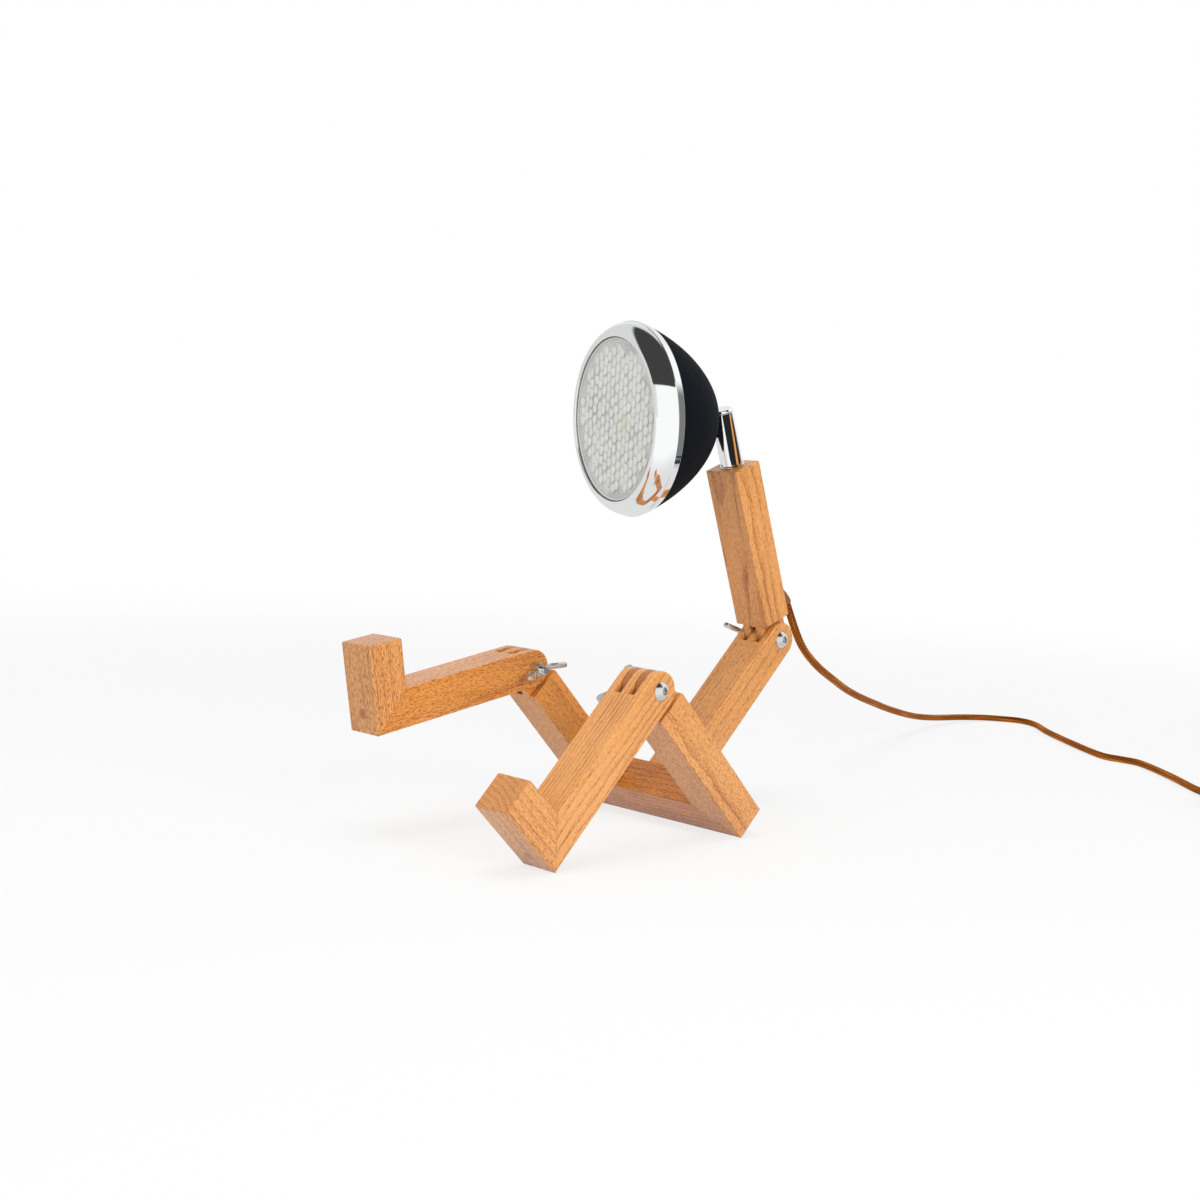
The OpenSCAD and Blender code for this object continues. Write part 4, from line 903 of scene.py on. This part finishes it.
class LAMP_OT_neck(bpy.types.Operator):
    """Polishes the neck tube, its cap and its collar"""

    bl_idname = "lamp.neck"
    bl_label = "Chrome neck"

    def execute(self, context):
        chrome = chrome_finish()
        for node, body, width in (("neck_tube", "neck", 0.25), ("neck_cap", "neck", 0.22),
                                  ("neck_collar", "torso", 0.3)):
            coat(node, node + "_chrome", body, "chrome", chrome, width * MM)
        steel = plain_finish("turned_steel", (0.55, 0.55, 0.56), roughness=0.3, metallic=1.0, size=1.2,
                             spread=0.12, relief=0.01)
        coat("tilt_bracket", "tilt_bracket_steel", "head", "steel", steel, 0.2 * MM, 2)
        repaint(steel, "neck_spigot", "snap_ring", "pivot_block", "tilt_pin", "bracket_screws",
                "holder_screw", "switch_screws", "switch_pivot")
        brass = plain_finish("turned_brass", (0.70, 0.48, 0.17), roughness=0.3, metallic=1.0, size=1.5,
                             spread=0.12, relief=0.01)
        repaint(brass, "neck_bush", "switch_contacts")
        sheath = plain_finish("sheath_rubber", (0.06, 0.05, 0.045), roughness=0.55, size=1.5, spread=0.2,
                              relief=0.03)
        repaint(sheath, "torso_lead", "neck_lead", "head_lead")
        return {"FINISHED"}


class LAMP_OT_shell(bpy.types.Operator):
    """Coats the head's shell"""

    bl_idname = "lamp.shell"
    bl_label = "Head shell"

    def execute(self, context):
        paint = plain_finish("shell_powder", tuple(context.scene.lamp_head.paint), roughness=0.75, size=1.1,
                             spread=0.16, relief=0.02, Specular_IOR_Level=0.08)
        coat("head_shell", "head_shell_coat", "head", "shell_paint", paint, 0.2 * MM, 2)
        return {"FINISHED"}


class LAMP_OT_bezel(bpy.types.Operator):
    """Turns the chrome bezel with its rounded lip and its narrow band"""

    bl_idname = "lamp.bezel"
    bl_label = "Chrome bezel"

    def execute(self, context):
        lip_r, lip_h, wall, step = 50.5, 1.1, 1.2, 0.6
        curve_h, band_h, band_r = LENS_REACH - 4.9, SHELL_FRONT + BAND_W, BEZEL_R - BAND_TAPER
        face = bezier((lip_r, LENS_REACH + lip_h), (lip_r + 3.4, LENS_REACH - 0.8), (BEZEL_R - 1, curve_h),
                      (BEZEL_R - step, band_h), 40)
        back = bezier((BEZEL_R - step - wall, band_h + 0.2), (BEZEL_R - 1 - wall, curve_h),
                      (lip_r + 2.6, LENS_REACH - 1.6), (lip_r + 1.3, LENS_REACH), 16)
        outline = [(LENS_R, LENS_REACH), (LENS_R, LENS_REACH + lip_h), *face, (BEZEL_R, band_h),
                   (band_r, SHELL_FRONT), (band_r - wall, SHELL_FRONT), *back]
        last = len(face) + 1
        outline = rounded(outline, {1: 0.5, 2: 0.9, last: 0.25, last + 1: 0.3, last + 2: 0.45})
        piece = smooth(spun("bezel_chrome", outline, HEAD, 192), 40)
        dressed(piece, "head", "chrome", bpy.data.materials["polished_chrome"], "bezel_ring")
        return {"FINISHED"}


class LAMP_OT_lens(bpy.types.Operator):
    """Presses the pebbled lens"""

    bl_idname = "lamp.lens"
    bl_label = "Pebbled lens"

    def plate(self, low):
        """The lens without its pebbles, whose field lies at a height."""
        edge_r, rim_r, slope_r, field_r, thick = 51.5, 47.4, 46.8, 46.1, 3.0
        back = LENS_REACH - thick
        outline = [(0, back), (edge_r, back), (edge_r, LENS_REACH), (rim_r, LENS_REACH),
                   (slope_r, LENS_REACH - 0.12), (field_r, low), (0, low)]
        return spun("front_lens", rounded(outline, {3: 0.3}), HEAD, 192, loop=False)

    def pebbles(self, pitch, height, low):
        """Pebbles in staggered rows, each a little out of line and of its own size."""
        field_r, stray, smallest, reach = 44.6, 0.8, 0.62, 9
        slopes = [math.radians(d) for d in (22, 42, 60, 74, 87)]
        outline = [(0, height)] + [(pitch * 0.5 * math.sin(a), height * math.cos(a) ** 0.8) for a in slopes]
        pattern = spun("pebble", outline, Matrix.Identity(4), 14, loop=False)
        dome, row_gap = pattern.data, pitch * math.sqrt(3) / 2
        bpy.data.objects.remove(pattern)
        made, luck = [], random.Random(5)
        for row in range(-reach, reach + 1):
            for column in range(-reach, reach + 1):
                x, y = row * row_gap, (column + 0.5 * (row % 2)) * pitch
                if math.hypot(x, y) < field_r - pitch * 0.5:
                    made.append(bpy.data.objects.new("pebble", dome.copy()))
                    aside, along = luck.uniform(-stray, stray), luck.uniform(-stray, stray)
                    grown = luck.uniform(smallest, 1)
                    size = Matrix.Diagonal((0.6 + grown * 0.5, 1.3 - grown * 0.3, grown, 1))
                    made[-1].matrix_world = HEAD @ shift(x + aside, y + along, low) @ size
                    bpy.context.scene.collection.objects.link(made[-1])
        return made

    def execute(self, context):
        head = context.scene.lamp_head
        height = head.relief / MM
        low = LENS_REACH - LENS_SINK - height
        lens, pebbles = self.plate(low), self.pebbles(head.pebble / MM, height, low)
        alone(lens)
        for pebble in pebbles:
            pebble.select_set(True)
        bpy.ops.object.join()
        lens = smooth(context.active_object, 40)
        dressed(lens, "head", "glass", lens_finish(), "front_glass")
        return {"FINISHED"}


class LAMP_OT_lamp_parts(bpy.types.Operator):
    """Dresses the reflector, the bulb, its holder and the gasket behind the lens"""

    bl_idname = "lamp.lamp_parts"
    bl_label = "Inside of the head"

    def execute(self, context):
        mirror = plain_finish("reflector_mirror", (0.88, 0.88, 0.87), roughness=0.16, metallic=1.0, size=3.0,
                              spread=0.08, relief=0.004)
        coat("reflector", "reflector_bowl", "head", "mirror", mirror, 0)
        opal = plain_finish("bulb_opal", (0.92, 0.90, 0.80), roughness=0.2, size=4.0, spread=0.04,
                            relief=0.004, tint=(0.90, 0.74, 0.35), Transmission_Weight=0.3,
                            Subsurface_Weight=0.2)
        coat("capsule_bulb", "bulb_capsule", "head", "bulb_glass", opal, 0.2 * MM, 2)
        glaze = plain_finish("holder_glaze", (0.78, 0.75, 0.68), roughness=0.25, size=2.0, spread=0.06,
                             relief=0.01, Coat_Weight=0.4)
        coat("lamp_holder", "holder_ceramic", "head", "ceramic", glaze, 0.3 * MM, 2)
        rubber = plain_finish("gasket_rubber", (0.03, 0.03, 0.031), roughness=0.62, size=0.8, spread=0.2,
                              relief=0.05)
        repaint(rubber, "glass_gasket")
        return {"FINISHED"}


class LAMP_OT_cord(bpy.types.Operator):
    """Lays the textile cord from the torso through the switch and the coil to the plug"""

    bl_idname = "lamp.cord"
    bl_label = "Textile cord"

    def execute(self, context):
        points = cord_path()
        radius = context.scene.lamp_cord.diameter / MM / 2
        cord = swept("textile_cord", points, radius, 16)
        bpy.ops.object.shade_smooth_by_angle(angle=math.radians(50))
        cord.data.materials.append(textile_finish())
        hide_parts("cord_lead", "cord_link", "cord_coil", "cord_tail")
        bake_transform(cord)
        context.scene["cord_path"] = [c * MM for p in points for c in p]
        return {"FINISHED"}


class LAMP_OT_relief(bpy.types.Operator):
    """Moulds the ribbed sleeve where the cord leaves the torso"""

    bl_idname = "lamp.relief"
    bl_label = "Strain relief"

    def execute(self, context):
        root, tip, stride = 3.98, CORD_R + 0.6, 0.5
        first_rib, last_rib, rib_pitch, groove_w, groove_d = 3.5, 18, 3, 1.2, 0.45
        count = round((RELIEF_PLUG + RELIEF_LEN) / stride) + 1
        spots = [-RELIEF_PLUG + stride * k for k in range(count)]

        def girth(i):
            s = spots[i]
            base = root + (tip - root) * max(0.0, s) / RELIEF_LEN
            grooved = first_rib < s < last_rib and (s % rib_pitch) < groove_w
            return (base - (groove_d if grooved else 0.0)) / root

        sleeve = smooth(swept("strain_relief_sleeve", [relief_at(s) for s in spots], root, 28, girth), 50)
        rubber = plain_finish("sleeve_rubber", (0.30, 0.115, 0.035), roughness=0.5, size=1.0, spread=0.2,
                              relief=0.04)
        dressed(sleeve, "torso", "relief_rubber", rubber, "strain_relief")
        return {"FINISHED"}


class LAMP_OT_switch(bpy.types.Operator):
    """Dresses the rocker switch on the cord"""

    bl_idname = "lamp.switch"
    bl_label = "Cord switch"

    def execute(self, context):
        moulded = plain_finish("moulded_black", (0.022, 0.022, 0.024), roughness=0.42, size=0.7, spread=0.2,
                               relief=0.03)
        satin = plain_finish("rocker_black", (0.035, 0.035, 0.038), roughness=0.3, size=1.0, spread=0.15,
                             relief=0.012)
        top, skin, at_joint = SWITCH_H * MM, 0.1 * MM, 0.22

        def outer(a, b):
            """The whole round-over on the switch's top and underside, less of it elsewhere."""
            low, high = min(a.z, b.z), max(a.z, b.z)
            return 1.0 if low > top - skin or high < skin else at_joint

        for node, width in (("switch_base", 1.1), ("switch_cover", 1.6)):
            coat(node, node + "_shell", "hips", "black_plastic", moulded, width * MM, 4, outer)
        coat("switch_rocker", "switch_rocker_cap", "rocker", "rocker_plastic", satin, 0.5 * MM)
        return {"FINISHED"}


class LAMP_OT_tie(bpy.types.Operator):
    """Straps the coil's turns together"""

    bl_idname = "lamp.tie"
    bl_label = "Coil tie"

    def execute(self, context):
        wide, thick, spare, bend = 7.0, 0.6, 0.15, 2.3
        inner = COIL_IN + COIL_PITCH / 2 - CORD_R - spare
        outer = COIL_IN + COIL_PITCH * 1.5 + CORD_R + spare
        top = 4 * CORD_R + spare
        corners = [(inner, thick), (outer, thick), (outer, top), (inner, top)]
        loop = rounded(corners, {k: bend for k in range(4)}, 6)
        place, count = Matrix.Translation(COIL * MM) @ turn(LAY_TURN + 180, "Z"), len(loop)
        points = [place @ (Vector((a, y, b)) * MM) for y in (-wide / 2, wide / 2) for a, b in loop]
        faces = [(k, (k + 1) % count, count + (k + 1) % count, count + k) for k in range(count)]
        piece = drawn("coil_tie", points, faces=faces)
        edit(lambda: bpy.ops.mesh.normals_make_consistent(inside=False))
        piece = smooth(applied(piece, "SOLIDIFY", thickness=thick * MM, offset=1.0), 40)
        rubber = plain_finish("tie_rubber", (0.03, 0.03, 0.032), roughness=0.5, size=0.8, spread=0.2,
                              relief=0.04)
        dressed(piece, "hips", "black_plastic", rubber)
        return {"FINISHED"}


class LAMP_OT_plug(bpy.types.Operator):
    """Dresses the mains plug and its two pins"""

    bl_idname = "lamp.plug"
    bl_label = "Mains plug"

    def execute(self, context):
        moulded = bpy.data.materials["moulded_black"]
        coat("plug_body", "plug_body_shell", "hips", "black_plastic", moulded, 0.8 * MM)
        brass = plain_finish("pin_brass", (0.74, 0.63, 0.40), roughness=0.26, metallic=1.0, size=1.5,
                             spread=0.12, relief=0.01)
        lay = Matrix.Translation(PLUG * MM) @ turn(LAY_TURN, "Z")
        pin_r, root, apart = 2.0, -9.5, 9.3
        pin = [(0, root), (pin_r, root), (pin_r, 19), (1.85, 19.8), (1.4, 20.5), (0.8, 20.9), (0, 21)]
        cover = [(pin_r, -1), (pin_r, 10), (1.97, 10.2), (1.9, 10.2), (1.9, -1)]
        pins = []
        for side in (-1, 1):
            place = lay @ shift(-PLUG_LEN / 2, side * apart, PLUG_H / 2) @ turn(-90, "Y")
            pins.append(spun("pin", pin, place, 40, loop=False))
            sleeve = spun("sleeve", cover, place, 40)
            sleeve.name = "pin_sleeve_" + ("low" if side < 0 else "high")
            dressed(smooth(sleeve), "hips", "black_plastic", moulded)
        alone(pins[0])
        pins[1].select_set(True)
        bpy.ops.object.join()
        pins[0].name = "plug_pins"
        dressed(smooth(pins[0]), "hips", "brass", brass, "plug_prongs")
        return {"FINISHED"}


class LAMP_OT_declare_cord(bpy.types.Operator):
    """Returns at once, stating nothing about the cord"""

    bl_idname = "lamp.declare_cord"
    bl_label = "Cord facts"

    def execute(self, context):
        return {"FINISHED"}


class LAMP_OT_camera(bpy.types.Operator):
    """Places the camera"""

    bl_idname = "lamp.camera"
    bl_label = "Camera"

    def execute(self, context):
        place = shift(703.94, -705.71, 218.97)
        azimuth, elevation, roll = 45.35, 4.98, 2.68
        back = Vector((sin(azimuth) * cos(elevation), -cos(azimuth) * cos(elevation), sin(elevation)))
        right = Vector((cos(azimuth), sin(azimuth), 0))
        up = back.cross(right)
        across, above = cos(roll) * right + sin(roll) * up, -sin(roll) * right + cos(roll) * up
        data = bpy.data.cameras.new("camera")
        data.sensor_width, data.lens = 36.0, 52.12
        data.clip_start, data.clip_end = 0.05, 60.0
        camera = bpy.data.objects.new("camera", data)
        context.scene.collection.objects.link(camera)
        camera.matrix_world = place @ Matrix((across, above, back)).transposed().to_4x4()
        context.scene.camera = camera
        return {"FINISHED"}


# How far a direction has to turn to the back right before mirrors see the grey corner there
CORNER = (0.82, 0.93)


class LAMP_OT_stage(bpy.types.Operator):
    """Lays the floor and sets the lamps"""

    bl_idname = "lamp.stage"
    bl_label = "Stage"

    def lamp(self, name, at, power, size):
        """A round lamp that faces the object and that neither the camera nor a mirror sees."""
        data = bpy.data.lights.new(name, "AREA")
        data.shape, data.size, data.energy = "DISK", size, power
        lamp = bpy.data.objects.new(name, data)
        bpy.context.scene.collection.objects.link(lamp)
        lamp.location = at
        lamp.rotation_mode = "QUATERNION"
        middle = Vector((0, 0, 0.12))
        lamp.rotation_quaternion = (Vector(at) - middle).to_track_quat("Z", "Y")
        lamp.visible_camera = lamp.visible_glossy = lamp.visible_transmission = False

    def seen(self, nodes):
        """Whether a ray comes from the camera, and whether from a mirror or through glass."""
        camera = nodes.node("LightPath", {}, {}, "Is Camera Ray")
        glossy = nodes.node("LightPath", {}, {}, "Is Glossy Ray")
        through_glass = nodes.node("LightPath", {}, {}, "Is Transmission Ray")
        return camera, glossy.apply("MAXIMUM", through_glass) * (1 - camera)

    def sheet(self, name, material):
        """Names the plane that was just added and gives it an empty material; returns both."""
        plane = bpy.context.active_object
        plane.name = name
        made = bpy.data.materials.new(material)
        made.use_nodes = True
        plane.data.materials.append(made)
        return plane, Nodes(made.node_tree, empty=True)

    def lay_floor(self, width):
        """White paper. Mirrors see it darker in front of the object and behind it on the right."""
        bpy.ops.mesh.primitive_plane_add(size=width, location=(0, 0, -0.0002))
        _, nodes = self.sheet("floor", "floor_paper")
        camera, mirrored = self.seen(nodes)
        x, y, _ = nodes.place(scale=(1, 1, 1)).parts()
        away = (x ** 2 + y ** 2) ** 0.5
        near = 1 - (x - y).step(0.1, 0.42)
        to_back_right = (x * 0.7 + y * 0.7) / away
        beyond = to_back_right.step(*CORNER) * away.step(0.3, 0.5)
        dark = (near * 0.24).apply("MAXIMUM", beyond * 0.8)
        glow = nodes.node("Emission", {}, {"Strength": camera + mirrored * (1 - dark)})
        matt = nodes.node("BsdfDiffuse", {}, {"Color": (0.86, 0.86, 0.86)})
        shown = (camera * (0.75 + away.step(0.45, 1.6) * 0.25) + mirrored).apply("MINIMUM", 1.0)
        paper = nodes.node("MixShader", {}, {0: shown, 1: matt, 2: glow})
        nodes.node("OutputMaterial", {}, {"Surface": paper})

    def hang_flag(self):
        """A small dark card with an orange stripe beside the neck, which only mirrors see."""
        bpy.ops.mesh.primitive_plane_add(size=1, location=(0.031, 0.088, 0.216),
                                         rotation=(math.radians(90), 0, math.radians(90)))
        flag, nodes = self.sheet("flag", "flag_cloth")
        flag.scale = (0.066, 0.052, 1)
        flag.visible_camera = flag.visible_diffuse = flag.visible_shadow = flag.visible_transmission = False
        x = nodes.place(scale=(1, 1, 1)).parts()[0]
        stripe = x.step(0.05, 0.09) * (1 - x.step(0.18, 0.24))
        cloth = nodes.mix(stripe, (0.02, 0.02, 0.02), (0.80, 0.37, 0.10))
        nodes.node("OutputMaterial", {}, {"Surface": nodes.node("Emission", {}, {"Color": cloth})})

    def light_world(self, context, sky):
        """White all round. Mirrors see a dark ceiling, a dark corner on the right and a grey left side."""
        world = bpy.data.worlds.new("studio")
        context.scene.world = world
        world.use_nodes = True
        nodes = Nodes(world.node_tree, empty=True)
        camera, mirrored = self.seen(nodes)
        x, y, z = nodes.node("TexCoord", {}, {}, "Generated").parts()
        rise_y, rise_x = 0.143, 0.365  # slope of the ceiling's lower edge
        ceiling = (z + y * rise_y - x * rise_x).step(0.27, 0.30) * z.step(0.25, 0.33)
        ceiling = ceiling * (1 - y.step(0.25, 0.42)) * x.step(-0.70, -0.56)
        to_back_right = x * 0.7 + y * 0.7
        corner = to_back_right.step(*CORNER) * (1 - z.step(0.5, 0.6))
        left = (1 - x.step(-0.35, 0.1)) * (1 - y.step(0.4, 0.55) * 0.5)
        dark = (ceiling * 0.95).apply("MAXIMUM", corner * 0.8).apply("MAXIMUM", left * 0.3)
        bright = camera + mirrored * (1 - dark) + (1 - camera) * (1 - mirrored) * sky
        back = nodes.node("Background", {}, {"Color": (1, 1, 1), "Strength": bright})
        nodes.node("OutputWorld", {}, {"Surface": back})

    def execute(self, context):
        stage = context.scene.lamp_stage
        self.lay_floor(stage.floor)
        self.hang_flag()
        self.lamp("side_light", (1.75, -0.45, 0.75), stage.key, 0.9)
        self.lamp("top_light", (0.1, -0.35, 2.0), stage.top, 1.2)
        self.lamp("front_light", (-0.9, -1.9, 0.8), stage.key * 0.22, 1.2)
        self.light_world(context, stage.sky)
        context.scene.view_settings.view_transform = "Standard"
        return {"FINISHED"}


# ---------------------------------------------------------------- panel and registration

STEPS = (LAMP_OT_camera, LAMP_OT_cord, LAMP_OT_stage, LAMP_OT_relief, LAMP_OT_timber, LAMP_OT_dowels,
         LAMP_OT_bolts, LAMP_OT_wing_nuts, LAMP_OT_neck, LAMP_OT_shell, LAMP_OT_bezel, LAMP_OT_lens,
         LAMP_OT_lamp_parts, LAMP_OT_switch, LAMP_OT_tie, LAMP_OT_plug, LAMP_OT_declare_cord)
GROUPS = {"lamp_timber": TimberSettings, "lamp_metal": MetalSettings, "lamp_head": HeadSettings,
          "lamp_cord": CordSettings, "lamp_stage": StageSettings}


class LAMP_PT_desk_lamp(bpy.types.Panel):
    """Lists the lamp's sizes, colours and steps"""

    bl_idname = "LAMP_PT_desk_lamp"
    bl_label = "Desk Lamp"
    bl_space_type = "VIEW_3D"
    bl_region_type = "UI"
    bl_category = "Desk Lamp"

    def draw(self, context):
        for key, group in GROUPS.items():
            box = self.layout.box()
            box.label(text=group.__doc__)
            for name in group.__annotations__:
                box.prop(getattr(context.scene, key), name)
        for step in STEPS:
            self.layout.operator(step.bl_idname)


def register():
    for group in (*GROUPS.values(), *STEPS, LAMP_PT_desk_lamp):
        bpy.utils.register_class(group)
    for key, group in GROUPS.items():
        setattr(bpy.types.Scene, key, bpy.props.PointerProperty(type=group))


def unregister():
    for key in GROUPS:
        delattr(bpy.types.Scene, key)
    for group in (LAMP_PT_desk_lamp, *reversed(STEPS), *reversed(GROUPS.values())):
        bpy.utils.unregister_class(group)


def main():
    register()
    bpy.ops.lamp.camera()
    bpy.ops.lamp.cord()
    bpy.ops.lamp.stage()
    bpy.ops.lamp.relief()
    bpy.ops.lamp.timber()
    bpy.ops.lamp.dowels()
    bpy.ops.lamp.bolts()
    bpy.ops.lamp.wing_nuts()
    bpy.ops.lamp.neck()
    bpy.ops.lamp.shell()
    bpy.ops.lamp.bezel()
    bpy.ops.lamp.lens()
    bpy.ops.lamp.lamp_parts()
    bpy.ops.lamp.switch()
    bpy.ops.lamp.tie()
    bpy.ops.lamp.plug()
    bpy.ops.lamp.declare_cord()


if __name__ == "__main__":
    main()
